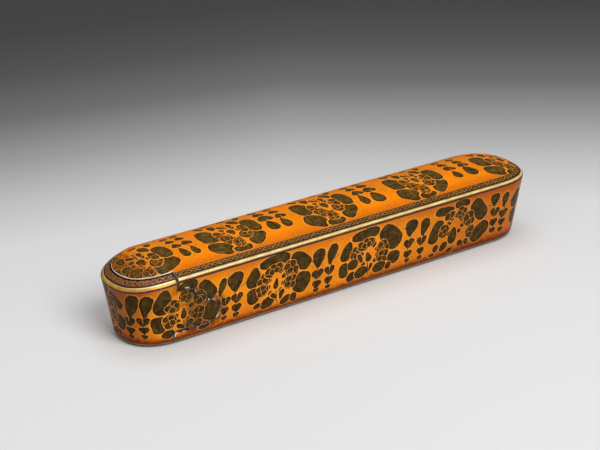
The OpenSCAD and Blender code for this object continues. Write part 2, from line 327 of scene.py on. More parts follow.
# cuts a shell along the head's outline and softens the fresh edges
def cutAtSeam(obj, operation, gap, soft):
    reach = 40  # mm to each side, past the box
    cutter = extruded([(x, reach, z) for x, z in headOutline(gap)], (0, -2 * reach, 0))
    cutter = toObject(cutter, obj.name + "Cutter", [finish["seamInside"]])
    carve(obj, operation, cutter, "TRANSFER")
    bm = bmesh.new()
    bm.from_mesh(obj.data)
    bmesh.ops.remove_doubles(bm, verts=bm.verts, dist=meshDetail["seamMerge"] * mm)
    slots = list(obj.data.materials)
    seamSlot, wornSlot = slots.index(finish["seamInside"]), slots.index(finish["cutEdge"])
    sharp = [e for e in bm.edges
             if len(e.link_faces) == 2 and e.calc_face_angle(0) > radians(meshDetail["bevelFrom"])
             and any(f.material_index == seamSlot for f in e.link_faces)]
    for f in bevelled(bm, sharp, soft, 2):
        f.material_index = wornSlot
    for f in bm.faces:
        f.smooth = True
    bm.to_mesh(obj.data)
    bm.free()
    obj.data.set_sharp_from_angle(angle=radians(meshDetail["sharp"]))


# brush strokes of the flower painting; each is drawn over what is there and keeps a bare outline in mm
strokeKinds = {
    "petal": {"fullness": 2.7, "outline": 0.34},
    "leaf": {"fullness": 2.0, "outline": 0.26},
    "scale": {"fullness": 2.0, "outline": 0.18},
    "stem": {"fullness": 2.0, "outline": -0.2},
    "bare": {"fullness": 2.0, "outline": 0.0},
}
leastWidth = 0.06  # share of its width that a tapering stroke keeps
unpainted = -5.0   # mm from the nearest paint before the first stroke


# node group of one stroke: how far a point lies inside the paint, in millimetres
def makeBrush(kind):
    fullness = strokeKinds[kind]["fullness"]
    brush, add = startGroup(kind + "Brush", [("paint", "Float")], [
        ("where", "Vector"), ("along", "Vector"), ("across", "Vector"), ("taper", "Float"),
        ("size", "Float"), ("reach", "Float"), ("under", "Float")])
    given = brush.nodes.new("NodeGroupInput").outputs
    along = add("VectorMath.DOT_PRODUCT", given["where"], given["along"])
    across = add("VectorMath.DOT_PRODUCT", given["where"], given["across"])
    swell = add("Math.MULTIPLY_ADD", along, given["taper"], 1.0)
    across = add("Math.DIVIDE", across, add("Math.MAXIMUM", swell, leastWidth))
    if fullness == 2.0:
        reach = add("VectorMath.LENGTH", add("CombineXYZ", along, across))
    else:
        powers = [add("Math.POWER", add("Math.ABSOLUTE", part), fullness) for part in (along, across)]
        reach = add("Math.POWER", add("Math.ADD", *powers), 1 / fullness)
    away = add("Math.MULTIPLY", add("Math.SUBTRACT", reach, 1.0), given["size"])
    if kind == "stem":  # keeps the ends of a thin stroke sharp
        past = add("Math.SUBTRACT", add("Math.ABSOLUTE", along), 1.0)
        away = add("Math.MAXIMUM", away, add("Math.MULTIPLY", past, given["reach"]))
    clear = add("Math.SUBTRACT", away, strokeKinds[kind]["outline"])
    result = add("Math.MINIMUM", given["under"], clear)
    if kind != "bare":
        result = add("Math.MAXIMUM", result, add("Math.MULTIPLY", away, -1.0))
    return endGroup(brush, result)


brushes = {kind: makeBrush(kind) for kind in strokeKinds}


# paints a list of strokes (kind, u, v, turn, half length, half width, taper) over one another
def paintStrokes(add, where, strokes):
    paint = unpainted
    for kind, u, v, turn, halfLength, halfWide, taper in strokes:
        c, s = cos(radians(turn)), sin(radians(turn))
        along = (c / halfLength, s / halfLength, -(u * c + v * s) / halfLength)
        across = (-s / halfWide, c / halfWide, (u * s - v * c) / halfWide)
        paint = add("Group", where, along, across, taper, min(halfLength, halfWide), halfLength, paint,
                    node_tree=brushes[kind])
    return paint


# blossoms about the seed, with v towards the petals' crown: petals and leaves as strokes, and fans of
# small scales as (aim, rows of (distance, count, size))
blossoms = {
    "first": {
        "petals": [("leaf", -9.7, 8.4, 82, 6.7, 3.9, -0.3), ("petal", -11.9, -3.3, 95, 4.7, 3.4, 0.1),
                   ("petal", 1.6, 13.7, 4, 4.8, 2.9, 0.0), ("petal", 12.3, 9.1, -50, 6.3, 3.3, 0.05),
                   ("petal", 15.3, -2.5, 70, 5.3, 4.5, 0.0)],
        "fans": [(137, ((8.4, 2, 1.6), (6.4, 2, 1.4))), (198, ((8.6, 2, 1.7), (6.4, 2, 1.4))),
                 (84, ((10.2, 2, 1.7), (8.2, 2, 1.4))), (38, ((11.6, 2, 1.8), (9.2, 2, 1.6))),
                 (-12, ((9.4, 2, 1.7), (7.0, 2, 1.4)))],
        "leaves": [("leaf", -7.5, -8.8, 15, 3.3, 2.1, 0.0), ("leaf", 7.8, -6.8, 10, 2.8, 1.6, 0.3),
                   ("leaf", 11.7, -10.0, 5, 3.0, 1.2, 0.0), ("leaf", 3.4, -5.9, 60, 2.6, 1.7, 0.4),
                   ("leaf", -1.0, -6.3, 145, 2.5, 1.1, 0.4)],
        "calyx": (0.0, 1.2, 90, 5.4, 3.1), "seed": (0.0, 0.0, 90, 2.9, 1.5)},
    "second": {
        "petals": [("leaf", -13.3, 6.4, 84, 5.3, 3.9, -0.3), ("petal", -2.0, 12.1, 3, 8.6, 3.3, 0.12),
                   ("petal", 13.3, 8.6, -39, 6.8, 3.8, 0.1), ("petal", 15.0, -3.4, 70, 5.5, 4.9, 0.0),
                   ("petal", -12.7, -3.5, 95, 4.3, 3.5, 0.12)],
        "fans": [(153, ((9.4, 2, 1.6), (7.4, 1, 1.5))), (193, ((9.2, 2, 1.5), (7.2, 2, 1.3))),
                 (105, ((8.8, 3, 1.6), (7.0, 2, 1.4))), (34, ((11.2, 2, 1.9), (8.8, 3, 1.6))),
                 (-8, ((9.2, 2, 1.7), (7.0, 2, 1.5)))],
        "leaves": [("leaf", -4.2, -8.8, 22, 4.3, 2.9, 0.0), ("leaf", -10.2, -9.4, 15, 2.1, 1.4, 0.2),
                   ("leaf", 6.1, -10.2, 25, 3.4, 1.9, 0.1), ("leaf", 10.8, -10.2, 100, 2.4, 2.1, 0.1),
                   ("leaf", 3.6, -6.7, 76, 2.9, 1.3, 0.5), ("leaf", -0.7, -6.7, 140, 2.6, 1.1, 0.5)],
        "calyx": (-0.2, 0.8, 92, 5.6, 3.6), "seed": (0.0, 0.0, 90, 2.9, 1.5)},
    "third": {
        "petals": [("leaf", -13.4, 6.2, 74, 5.4, 3.3, -0.25), ("petal", -2.8, 12.8, 2, 8.4, 3.1, 0.1),
                   ("petal", 13.1, 7.6, -45, 8.2, 5.2, 0.06), ("petal", 16.3, -4.4, -20, 4.0, 3.4, 0.1),
                   ("petal", -14.4, -3.8, 98, 4.1, 2.8, 0.0)],
        "fans": [(154, ((10.2, 2, 1.5), (8.2, 2, 1.4))), (104, ((8.8, 3, 1.6), (7.0, 2, 1.4))),
                 (20, ((10.6, 2, 1.8), (8.2, 2, 1.5))), (-12, ((10.4, 2, 1.7), (8.0, 2, 1.5)))],
        "leaves": [("scale", -9.0, -1.9, 0, 3.2, 2.9, 0.0), ("leaf", -9.3, -8.4, 30, 3.1, 2.5, 0.0),
                   ("leaf", -3.4, -7.5, 10, 4.0, 3.0, 0.0), ("leaf", 7.8, -7.6, 10, 4.0, 2.8, 0.0),
                   ("leaf", 13.5, -8.4, 80, 2.2, 1.9, 0.0), ("leaf", 2.2, -6.0, 70, 2.4, 1.0, 0.4),
                   ("leaf", -4.8, 0.2, 122, 2.9, 1.2, 0.3)],
        "calyx": (0.6, 1.0, 95, 4.9, 4.2), "seed": (0.0, 0.0, 112, 3.0, 1.7)},
    "fourth": {
        "petals": [("petal", -11.6, 2.1, 68, 6.5, 3.7, 0.0), ("petal", -7.5, 12.5, -6, 6.3, 2.6, 0.0),
                   ("petal", 3.9, 14.1, -3, 5.0, 2.3, 0.0), ("petal", 15.6, 8.0, -50, 7.1, 4.2, -0.05),
                   ("petal", 17.8, -4.8, 40, 6.4, 4.2, 0.05)],
        "fans": [(168, ((8.0, 2, 1.7), (6.2, 1, 1.5))), (112, ((10.2, 2, 1.6),)),
                 (66, ((11.2, 2, 1.5), (9.0, 2, 1.3), (7.0, 1, 1.3))),
                 (24, ((12.0, 2, 2.1), (9.4, 2, 1.7))), (-16, ((11.6, 2, 1.7),))],
        "leaves": [("leaf", -10.6, -7.3, 70, 2.2, 1.9, 0.0), ("leaf", -5.6, -7.4, 55, 2.8, 2.2, 0.0),
                   ("leaf", -1.4, -10.3, 20, 1.8, 1.2, 0.0), ("leaf", 5.6, -8.2, 150, 2.4, 1.6, 0.2),
                   ("leaf", 9.6, -8.4, 120, 2.1, 1.5, 0.2), ("leaf", -12.8, -10.4, 0, 1.9, 0.9, 0.0)],
        "calyx": (0.6, 3.2, 90, 4.4, 3.8), "seed": (-0.3, -2.4, 85, 4.7, 2.8)},
    "crown": {
        "petals": [("petal", -12.2, -2.2, 88, 6.7, 4.7, 0.12), ("petal", -11.9, 9.2, 24, 6.0, 3.9, 0.0),
                   ("petal", -1.9, 12.5, 0, 4.9, 1.8, 0.0), ("petal", 8.7, 8.4, -38, 5.5, 3.6, 0.0),
                   ("petal", 12.1, -1.9, 90, 6.7, 3.8, 0.0)],
        "fans": [(182, ((7.2, 2, 1.8),)), (140, ((8.4, 2, 1.6), (6.6, 1, 1.4))),
                 (100, ((10.0, 2, 1.4), (8.4, 2, 1.2))), (42, ((8.0, 2, 1.6), (6.2, 1, 1.4))),
                 (-6, ((7.0, 2, 1.8),))],
        "leaves": [("leaf", -4.9, -9.3, 100, 3.2, 2.0, -0.2), ("leaf", -9.6, -13.0, 60, 2.6, 1.7, 0.0),
                   ("leaf", 7.0, -9.3, 75, 3.5, 2.1, -0.2), ("leaf", 11.5, -13.4, 120, 2.6, 1.7, 0.0),
                   ("leaf", 2.9, -6.4, 105, 2.4, 1.2, -0.4), ("leaf", -1.4, -7.0, 60, 2.3, 1.1, -0.4),
                   ("leaf", -5.0, -15.0, 0, 2.4, 1.2, 0.0), ("leaf", 4.6, -15.2, 0, 2.4, 1.2, 0.0)],
        "calyx": (0.0, 0.6, 90, 4.9, 3.3), "seed": (0.0, 0.0, 90, 2.9, 1.8)},
}
# on the tongue the near petals spread wider and the far ones are small, where the panel ends
blossoms["tongue"] = dict(blossoms["crown"], petals=[
    ("leaf", -8.9, -2.4, 85, 4.2, 1.7, 0.1), ("leaf", -8.3, 6.6, 30, 3.6, 1.6, 0.0),
    ("leaf", -2.6, 12.3, 0, 3.4, 1.3, 0.0), ("petal", 8.1, 8.5, -22, 7.2, 4.0, 0.05),
    ("petal", 12.4, -2.3, 90, 6.2, 3.8, 0.0)])
# how the hand draws what isn't listed stroke by stroke, in millimetres, degrees and shares
handDrawing = {
    "ring": range(-140, 141, 35), "ringOut": (0.6, 0.8), "ringPetal": (1.6, 1.15, 0.2), "calyxIn": 0.4,
    "fanBack": 0.4, "fanLong": 2.3, "fanWide": 1.12, "fanStep": 1.9, "scaleLong": 1.15, "scaleWide": 1.02,
    "stem": 0.3, "stalk": (0.6, -6.6, 95, 4.2, 0.36), "curl": 0.24,
    "bud": (0.94, 0.42),                      # share of its listed width, taper
    "pairLeaf": (0.52, 20, 1.06, 0.6, 0.55),  # off the stem, turn, half length, half width, taper
    "vein": (0.45, 0.75, 0.13),               # up the leaf, half length, half width
    "stemEnds": (0.9, 0.8), "budFoot": 1.2, "budLean": 0.12, "stemPast": 0.5,
    "noseFrom": 124, "noseSqueeze": 0.55, "noseSmall": 0.8, "topEnd": 119,
}


# one blossom in painting order: petals, a ring of small ones close round the calyx and open towards the
# stem, fans of scales on a dark patch, calyx, leaves, stem and seed
def blossomStrokes(name):
    flower, hand = blossoms[name], handDrawing
    strokes = list(flower["petals"])
    u, v, turn, halfLength, halfWide = flower["calyx"]
    c, s = cos(radians(turn)), sin(radians(turn))
    for aim in hand["ring"]:
        along = (halfLength + hand["ringOut"][0]) * cos(radians(aim))
        across = (halfWide + hand["ringOut"][1]) * sin(radians(aim))
        strokes.append(("scale", u + along * c - across * s, v + along * s + across * c, turn + aim)
                       + hand["ringPetal"])
    for aim, rows in flower["fans"]:
        far, near = rows[0][0], rows[-1][0]
        wide = max(count * size for distance, count, size in rows)
        middle = (far + near) / 2 - hand["fanBack"]
        strokes.append(("leaf", middle * cos(radians(aim)), middle * sin(radians(aim)), aim,
                        (far - near) / 2 + hand["fanLong"], wide * hand["fanWide"], 0.1))
        for distance, count, size in rows:
            for k in range(count):
                waver = sin(7.3 * k + 3.1 * distance + aim)  # the hand is never quite even
                angle = radians(aim) + (k - (count - 1) / 2) * hand["fanStep"] * size / distance
                reach = distance * (1 + 0.03 * waver)
                strokes.append(("scale", reach * cos(angle), reach * sin(angle),
                                angle * 180 / pi + 10 * waver, size * (hand["scaleLong"] + 0.1 * waver),
                                size * hand["scaleWide"], 0.2))
    strokes.append(("bare", u, v, turn, halfLength - hand["calyxIn"], halfWide - hand["calyxIn"], -0.2))
    strokes += flower["leaves"]
    u, v = flower["seed"][:2]
    stalk = hand["stalk"]
    return strokes + [("stem", u + stalk[0], v + stalk[1]) + stalk[2:] + (0.0,),
                      ("leaf",) + flower["seed"] + (-0.4,)]


# bud sprigs: bud (u, v, turn, half length, half width), then the stem's u and its leaf pairs (v, size)
sideSprigs = [
    ((-117.4, 23.3, 78, 6.9, 3.2), -119.6, ((14.3, 2.5), (9.2, 2.0), (5.8, 1.3))),
    ((-111.1, 23.0, 80, 6.1, 2.9), -112.8, ((14.7, 2.4), (10.0, 1.9), (6.2, 1.3))),
    ((-74.1, 22.7, 80, 4.8, 2.0), -71.7, ((14.6, 2.2), (9.7, 1.8), (6.0, 1.2))),
    ((-66.9, 23.6, 97, 5.2, 4.4), -65.2, ((14.7, 2.6), (9.5, 2.1), (5.8, 1.4))),
    ((-19.4, 22.7, 92, 5.2, 3.6), -19.2, ((14.1, 2.6), (8.7, 2.0), (5.5, 1.3))),
    ((-11.6, 22.7, 80, 5.7, 2.9), -12.2, ((14.3, 2.4), (9.1, 1.9), (5.5, 1.2))),
    ((36.5, 24.0, 80, 4.6, 4.0), 36.3, ((15.4, 2.6), (9.7, 2.0), (6.0, 1.3))),
    ((45.3, 22.4, 83, 4.8, 2.9), 44.4, ((14.9, 2.4), (9.4, 1.9), (5.7, 1.2))),
    ((90.8, 25.8, 95, 3.7, 3.2), 91.8, ((18.5, 2.5), (12.7, 2.1), (8.1, 1.6))),
    ((97.8, 24.0, 83, 4.1, 2.2), 97.7, ((16.3, 2.3), (11.5, 1.9), (7.4, 1.5))),
]
topSprigs = [
    ((-85.2, 7.4, 90, 3.9, 2.2), -85.0, ((0.2, 1.9), (-5.4, 1.8), (-10.6, 1.6))),
    ((-79.7, 7.9, 90, 3.6, 1.9), -79.2, ((-0.2, 2.2), (-6.2, 1.9), (-11.2, 1.6))),
    ((-36.1, 7.2, 90, 4.2, 3.2), -35.2, ((-0.6, 3.1), (-6.4, 2.3), (-11.4, 1.8))),
    ((-28.9, 7.8, 90, 3.9, 2.5), -27.4, ((1.0, 2.3), (-4.6, 2.0), (-10.0, 1.8))),
    ((17.6, 7.8, 90, 4.1, 2.6), 19.0, ((0.4, 2.5), (-5.2, 2.1), (-10.4, 1.8))),
    ((25.3, 8.4, 90, 4.5, 3.6), 26.4, ((0.2, 2.8), (-5.8, 2.2), (-11.0, 1.8))),
    ((76.6, 8.0, 90, 3.5, 2.4), 77.8, ((0.2, 2.7), (-5.4, 2.1), (-10.8, 1.8))),
    ((85.8, 7.4, 90, 4.7, 3.5), 87.0, ((0.0, 2.5), (-4.8, 2.2), (-10.4, 1.8))),
]
# thin curls between blossoms and buds: u, v, turn, half length
sideTendrils = [
    (-76.8, 21.4, -28, 1.9), (-61.6, 21.2, 38, 2.4), (-22.6, 22.0, -20, 1.8), (-8.2, 21.0, 35, 2.0),
    (33.0, 24.6, -22, 2.2), (48.6, 22.8, 25, 2.0), (88.0, 23.0, -15, 2.4), (101.6, 22.0, 20, 2.2),
    (-105.6, 19.6, 25, 2.2), (-123.4, 20.4, -24, 1.8),
]
# where each blossom's seed lies: name, u, v
sideBlossoms = [("first", -94.3, 15.2), ("second", -43.3, 16.1), ("third", 10.9, 15.2),
                ("fourth", 65.0, 15.0)]
topBlossoms = [("tongue", -105.5, 3.6), ("crown", -56.6, 3.3), ("crown", -3.2, 3.6), ("crown", 53.2, 3.8),
               ("crown", 110.0, 3.6)]


def sprigStrokes(sprigs):
    hand, thin, strokes = handDrawing, handDrawing["stem"], []
    off, leafTurn, leafLong, leafWide, leafTaper = hand["pairLeaf"]
    rise, veinLong, veinWide = hand["vein"]
    for (u, v, turn, halfLength, halfWide), stem, pairs in sprigs:
        strokes.append(("leaf", u, v, turn, halfLength, halfWide * hand["bud"][0], hand["bud"][1]))
        for leafV, size in pairs:
            for side in (-1, 1):
                strokes.append(("stem", stem + side * size * off, leafV, 90 - side * leafTurn,
                                size * leafLong, size * leafWide, leafTaper))
            strokes.append(("bare", stem, leafV + size * rise, 90, size * veinLong, veinWide, 0.0))
        # stem from the foot of the bud through the leaves, in two straight runs
        low, high = pairs[-1][0] - hand["stemEnds"][0], pairs[0][0] - hand["stemEnds"][1]
        foot = v - halfLength + hand["budFoot"]
        strokes.append(("stem", stem, (low + high) / 2, 90, (high - low) / 2, thin, 0.0))
        aside = u - stem + (v - foot) * hand["budLean"] * (-1 if u < stem else 1)
        lean = atan2(foot - high, aside)
        reach = hypot(foot - high, u - stem) / 2
        strokes.append(("stem", stem + reach * cos(lean), high + reach * sin(lean), lean * 180 / pi,
                        reach + hand["stemPast"], thin, 0.0))
    return strokes


def moved(strokes, u, v):
    return [(s[0], s[1] + u, s[2] + v) + s[3:] for s in strokes]


# the blossom at each end lies where the painting meets itself; at the nose it is drawn smaller
endBlossom = moved(blossomStrokes("second"), 119.8, 16.0)
meeting = straight + endRun
squeeze, small = handDrawing["noseSqueeze"], handDrawing["noseSmall"]
noseBlossom = [(s[0], (s[1] - meeting) * squeeze - meeting, s[2], s[3], s[4] * small, s[5] * small, s[6])
               for s in endBlossom if s[1] > handDrawing["noseFrom"]]
sideStrokes = sprigStrokes(sideSprigs)
for name, u, v in sideBlossoms:
    sideStrokes += moved(blossomStrokes(name), u, v)
sideStrokes += endBlossom + noseBlossom
sideStrokes += [("stem", u, v, turn, reach, handDrawing["curl"], 0.0) for u, v, turn, reach in sideTendrils]
topStrokes = sprigStrokes(topSprigs)
for name, u, v in topBlossoms:
    topStrokes += [s for s in moved(blossomStrokes(name), u, v) if abs(s[1]) < handDrawing["topEnd"]]
print("strokes:", len(sideStrokes), "on the side,", len(topStrokes), "on the top")


# node group that lays the box flat, in millimetres: along the wall and up it, along and across the top,
# along and across the border
def makeBoxPlan():
    plan, add = startGroup("boxPlan", [(label, "Vector") for label in ("place", "side", "top", "rim")])
    place = placeInMm(add)
    x, y, z = add("SeparateXYZ", place).node.outputs
    farX, farY = add("Math.ABSOLUTE", x), add("Math.ABSOLUTE", y)
    past = add("Math.MAXIMUM", add("Math.SUBTRACT", farX, straight), 0.0)
    past = add("Math.MULTIPLY", past, halfWidth / boxShape["endLength"])
    turn = add("Math.ARCTAN2", past, farY)
    run = add("Math.MULTIPLY_ADD", turn, endRun / (pi / 2), add("Math.MINIMUM", farX, straight))
    # the far side carries the same painting, turned end for end, so it runs on round both ends
    flip = add("Math.GREATER_THAN", add("Math.MULTIPLY", x, y), 0.0)
    run = add("Math.MULTIPLY", run, add("Math.MULTIPLY_ADD", flip, -2.0, 1.0))
    dip = add("Math.SUBTRACT", seamX, x)
    onHead = add("Math.GREATER_THAN", dip, 0.0)
    dip = add("Math.DIVIDE", add("Math.MAXIMUM", dip, 0.0), boxShape["seam"])
    dip = add("Math.MULTIPLY", add("Math.POWER", dip, boxShape["noseCurve"]), boxShape["noseDip"])
    up = add("Math.MULTIPLY_ADD", add("Math.MULTIPLY", z, 1 / edgeHeight), dip, z)
    across = add("Math.MULTIPLY_ADD", onHead, boxShape["headSet"], add("Math.ADD", z, dip))
    caseLevel, headLevel = (edgeHeight + domeRise(boxShape[label]) for label in ("band", "border"))
    inner = add("MapRange", onHead, 0, 1, caseLevel, headLevel)
    rim = add("MapRange", across, edgeHeight + boxShape["gilt"], inner, clamp=False)
    near = add("Math.MULTIPLY", y, -1.0)
    return endGroup(plan, place, add("CombineXYZ", run, up, 1.0), add("CombineXYZ", x, near, 1.0),
                    add("CombineXYZ", run, rim, 1.0))


boxPlan = makeBoxPlan()


# node group: how far a point lies outside the drawer head's outline, in millimetres, seen from the side
def makeSeamField():
    field, add = startGroup("seamField", [("away", "Float")])
    x, y, z = add("SeparateXYZ", placeInMm(add)).node.outputs
    flat = add("CombineXYZ", x, z)
    away = add("Math.SUBTRACT", x, seamX)
    below = add("Math.SUBTRACT", boxShape["cheekFoot"], z)
    r = boxShape["lobeRadius"]
    for lobeX, lobeZ in lobeMiddles:
        ring = add("Math.SUBTRACT", add("VectorMath.DISTANCE", flat, (lobeX, lobeZ, 0)), r)
        step = add("Math.MAXIMUM", add("Math.SUBTRACT", x, lobeX), add("Math.SUBTRACT", z, lobeZ + r))
        step = add("Math.MAXIMUM", step, below)
        away = add("Math.MINIMUM", add("Math.MINIMUM", away, ring), step)
    return endGroup(field, away)


seamField = makeSeamField()

# grime and chips along the seam, in millimetres from the middle of the gap
seamWear = {"grime": "#140803", "chip": "#efe2c6", "dark": 0.5, "fade": 0.8, "strength": 0.95,
            "chipReach": 1.0, "chipFade": 0.85, "chipFrom": (0.46, 0.54), "chipSize": 3.2,
            "chipLevel": (0.56, 0.61), "edgeSpread": 1.2, "stainReach": 8.5}


# darkens a colour along the seam and lets the chalk ground show in chips
def addSeamWear(add, place, colour, spread=1.0):
    wear = seamWear
    away = add("Group", node_tree=seamField)
    near = add("Math.ABSOLUTE", add("Math.SUBTRACT", away, boxShape["gap"] / 2))
    dark, fade = wear["dark"] * spread, wear["fade"] * spread
    grime = add("MapRange.SMOOTHSTEP", near, dark, fade, wear["strength"], 0.0)
    colour = add("Mix.RGBA", grime, colour, wear["grime"])
    chip = add("MapRange", add("TexNoise", place, 1 / wear["chipSize"], 3.0), *wear["chipLevel"])
    reach = wear["chipReach"] * spread
    reach = add("MapRange", away, reach * wear["chipFade"], reach, 1.0, 0.0)
    clear = add("MapRange", away, *[level * spread for level in wear["chipFrom"]])
    chip = add("Math.MULTIPLY", add("Math.MULTIPLY", chip, reach), clear)
    return add("Mix.RGBA", chip, colour, wear["chip"])


# papier-mache under painted and varnished lacquer: a warm orange ground, dark brown flowers laid on by
# hand, crazing and rubbed spots, under an old varnish with a soft gloss
flowerLacquer = {
    "ground": "#fa9606",
    "groundDeep": "#e88206",
    "groundTop": "#fb8702",
    # browner tone that the ground darkens to towards its edges, in part painted shade
    "edge": "#b4530c",
    "stainAndShadeDeep": "#5e2006",
    "petal": ("#473106", "#594116"),      # on the sides, on the top; the top's tones are painted lighter as sheen
    "petalDeep": ("#2c1c02", "#3a2808"),
    "petalPale": ("#604c0c", "#7a6228"),
    "petalRim": "#1c0e03",
    "halo": "#f4ab4c",
    "rubbed": "#e2b06a",
    "wobble": 0.3,        # mm that the hand wanders
    "crazeCell": 2.6,     # mm between cracks, drawn coarser than the real crazing so that it shows
    "crack": 0.045,       # share of a cell
    "patch": 14.0,        # mm across a patch of tone
    "grain": 0.9,         # mm across the grain of the paint
    # from and to in millimetres, and what a darkening or blotch gains there; at the ends and along the top's
    # edges it is painted shade
    "wallMiddle": 17.5,
    "wallDarkening": (8.0, 16.0, 0, 0.6),        # up and down from the wall's middle
    "farEndShade": (10.0, 90.0, 0, 0.66),       # painted shade towards the far end
    # painted shade that darkens the ground towards the nose, from and to
    "noseShade": (-104.0, -119.0, 0, 0.85),
    "noseShadeDepth": 0.3,                         # painted shade: how far the nose is darkened
    "footBlotch": (2.5, 6.5, 0.66, 0.0),
    "cheekBlotch": (0.0, seamWear["stainReach"], 0.95, 0.0),
    "cheekShift": 1.6,
    "cheekSide": (-97.0, -90.0, 0.3, 1.0),   # less before the seam than behind it
    # painted shade along both long edges of the top, and in blotches along its far edge
    "topEdgeShade": (12.0, 17.5, 0, 0.5),
    "farEdgeShade": (9.0, 15.0, 0.0, 0.25),
    "tongueBlotch": (-97.0, -114.0, 0, 0.75),
}


def makeFlowerLacquer(name, face, strokes):
    tone = flowerLacquer
    onTop = face == "top"
    material, add = startMaterial(name, coat=0.08, coatRoughness=0.1, specular=0.05)
    plan = add("Group", node_tree=boxPlan).node.outputs
    place = plan["place"]
    x, y = add("SeparateXYZ", place).node.outputs[:2]
    wander = add("TexNoise", place, 0.28, 2.0).node.outputs["Color"]
    wander = add("VectorMath.SUBTRACT", wander, (0.5, 0.5, 0.5))
    wander = add("VectorMath.MULTIPLY", wander, (4 * tone["wobble"], 4 * tone["wobble"], 0))
    paint = paintStrokes(add, add("VectorMath.ADD", plan[face], wander), strokes)
    fray = add("MapRange", add("TexNoise", place, 2.2, 3.0), 0.3, 0.7, -0.07, 0.07)
    paint = add("Math.ADD", paint, fray)
    petal = add("MapRange.SMOOTHSTEP", paint, -0.07, 0.1)
    halo = add("MapRange.SMOOTHSTEP", paint, -0.45, -0.12, 0, 0.38)
    # ground: patches of tone, a browner darkening towards the edges and dark blotches over it; at the ends
    # and along the top's edges the darkening is painted shade
    patch = add("MapRange", add("TexNoise", place, 1 / tone["patch"], 4.0), 0.36, 0.66)
    grain = add("TexNoise", place, 1 / tone["grain"], 5.0)
    colour = add("Mix.RGBA", patch, tone["groundTop" if onTop else "ground"], tone["groundDeep"])
    if onTop:  # painted shade along both edges and in blotches along the far edge, blotched on the tongue
        edgeDarkening = add("MapRange.SMOOTHSTEP", add("Math.ABSOLUTE", y), *tone["topEdgeShade"])
        tongue = add("MapRange", x, *tone["tongueBlotch"])
        reach = add("Math.MAXIMUM", add("MapRange", y, *tone["farEdgeShade"]), tongue)
    else:  # darker towards foot and edge, painted shade at both ends, blotched low on the wall and round the cheeks
        up = add("SeparateXYZ", plan["side"]).node.outputs["Y"]
        edgeDarkening = add("Math.ABSOLUTE", add("Math.SUBTRACT", up, tone["wallMiddle"]))
        edgeDarkening = add("MapRange.SMOOTHSTEP", edgeDarkening, *tone["wallDarkening"])
        nose = add("MapRange.SMOOTHSTEP", x, *tone["noseShade"])
        # painted shade towards the far end and round the nose
        dull = add("Math.MAXIMUM", add("MapRange.SMOOTHSTEP", x, *tone["farEndShade"]), nose)
        edgeDarkening = add("Math.ADD", edgeDarkening, dull, use_clamp=True)
        cheek = add("Math.ADD", add("Group", node_tree=seamField), tone["cheekShift"])
        cheek = add("MapRange", add("Math.ABSOLUTE", cheek), *tone["cheekBlotch"])
        cheek = add("Math.MULTIPLY", cheek, add("MapRange", x, *tone["cheekSide"]))
        reach = add("Math.MAXIMUM", add("MapRange", up, *tone["footBlotch"]), cheek)
    colour = add("Mix.RGBA", edgeDarkening, colour, tone["edge"])
    blotch = add("Math.ADD", add("TexNoise", place, 0.45, 6.0, 0.66), reach)
    blotch = add("MapRange.SMOOTHSTEP", blotch, 0.62, 1.1, 0, 0.85)
    # dark blotches: stains, and along the top's far edge painted shade
    colour = add("Mix.RGBA", blotch, colour, tone["stainAndShadeDeep"])
    colour = add("Mix.RGBA", halo, colour, tone["halo"])
    # flowers: dark brown with an olive bloom where the brush ran thin, on the top painted lighter as sheen
    thin = add("ValToRGB", add("TexNoise", place, 0.45, 4.0, 0.6))
    stops = thin.node.color_ramp.elements
    stops[0].position, stops[0].color = 0.32, linear(tone["petalDeep"][onTop])
    stops[1].position, stops[1].color = 0.72, linear(tone["petalPale"][onTop])
    stops.new(0.52).color = linear(tone["petal"][onTop])
    rim = add("MapRange.SMOOTHSTEP", paint, 0.1, 0.75, 0.75, 0.0)
    colour = add("Mix.RGBA", petal, colour, add("Mix.RGBA", rim, thin, tone["petalRim"]))
    # crazing in the varnish and spots rubbed back to the pale ground
    cracks = add("VectorMath.ADD", place, wander)
    cracks = add("TexVoronoi.DISTANCE_TO_EDGE", cracks, 1 / tone["crazeCell"])
    cracks = add("MapRange.SMOOTHSTEP", cracks, 0.0, tone["crack"], 1.0, 0.0)
    crazed = add("MapRange", add("TexNoise", place, 0.09, 2.0), 0.48, 0.62, 0, 0.35)
    cracks = add("Math.MULTIPLY", cracks, crazed)
    colour = add("Mix.RGBA", cracks, colour, tone["petalRim"])
    rub = add("MapRange.SMOOTHSTEP", add("TexNoise", place, 0.8, 6.0, 0.7), 0.66, 0.74, 0, 0.55)
    colour = add("Mix.RGBA", rub, colour, tone["rubbed"])
    colour = add("VectorMath.SCALE", colour, add("MapRange", grain, 0.3, 0.7, 0.94, 1.06))
    if not onTop:
        # painted shade: the nose darkened towards the dark outline colour
        nose = add("Math.MULTIPLY", nose, tone["noseShadeDepth"])
        colour = add("Mix.RGBA", nose, colour, tone["petalRim"])
        colour = addSeamWear(add, place, colour)
    rough = add("MapRange", grain, 0.25, 0.75, 0.32, 0.5)
    relief = add("Math.SUBTRACT", add("Math.MULTIPLY_ADD", petal, 0.5, grain), cracks)
    return endMaterial(material, {"Base Color": colour, "Roughness": rough}, relief, 0.35, 0.12)


# gold leaf and shell gold laid on the chamfered edge: a warm metal that is rubbed through to the ground, with
# a painted highlight along its middle
giltEdge = {
    "gold": "#e6ae48",
    "goldDeep": "#c07a22",
    "paintedHighlight": "#fff2b2",
    "through": "#a4551a",
    "cloud": 4.0,     # mm across a cloud of deeper gold
    "highlightRise": 0.44,             # share of the chamfer's height where the painted highlight runs
    "highlightFade": (0.15, 0.45),     # mm to each side
    "flake": 1.1,     # mm across a rubbed flake
}


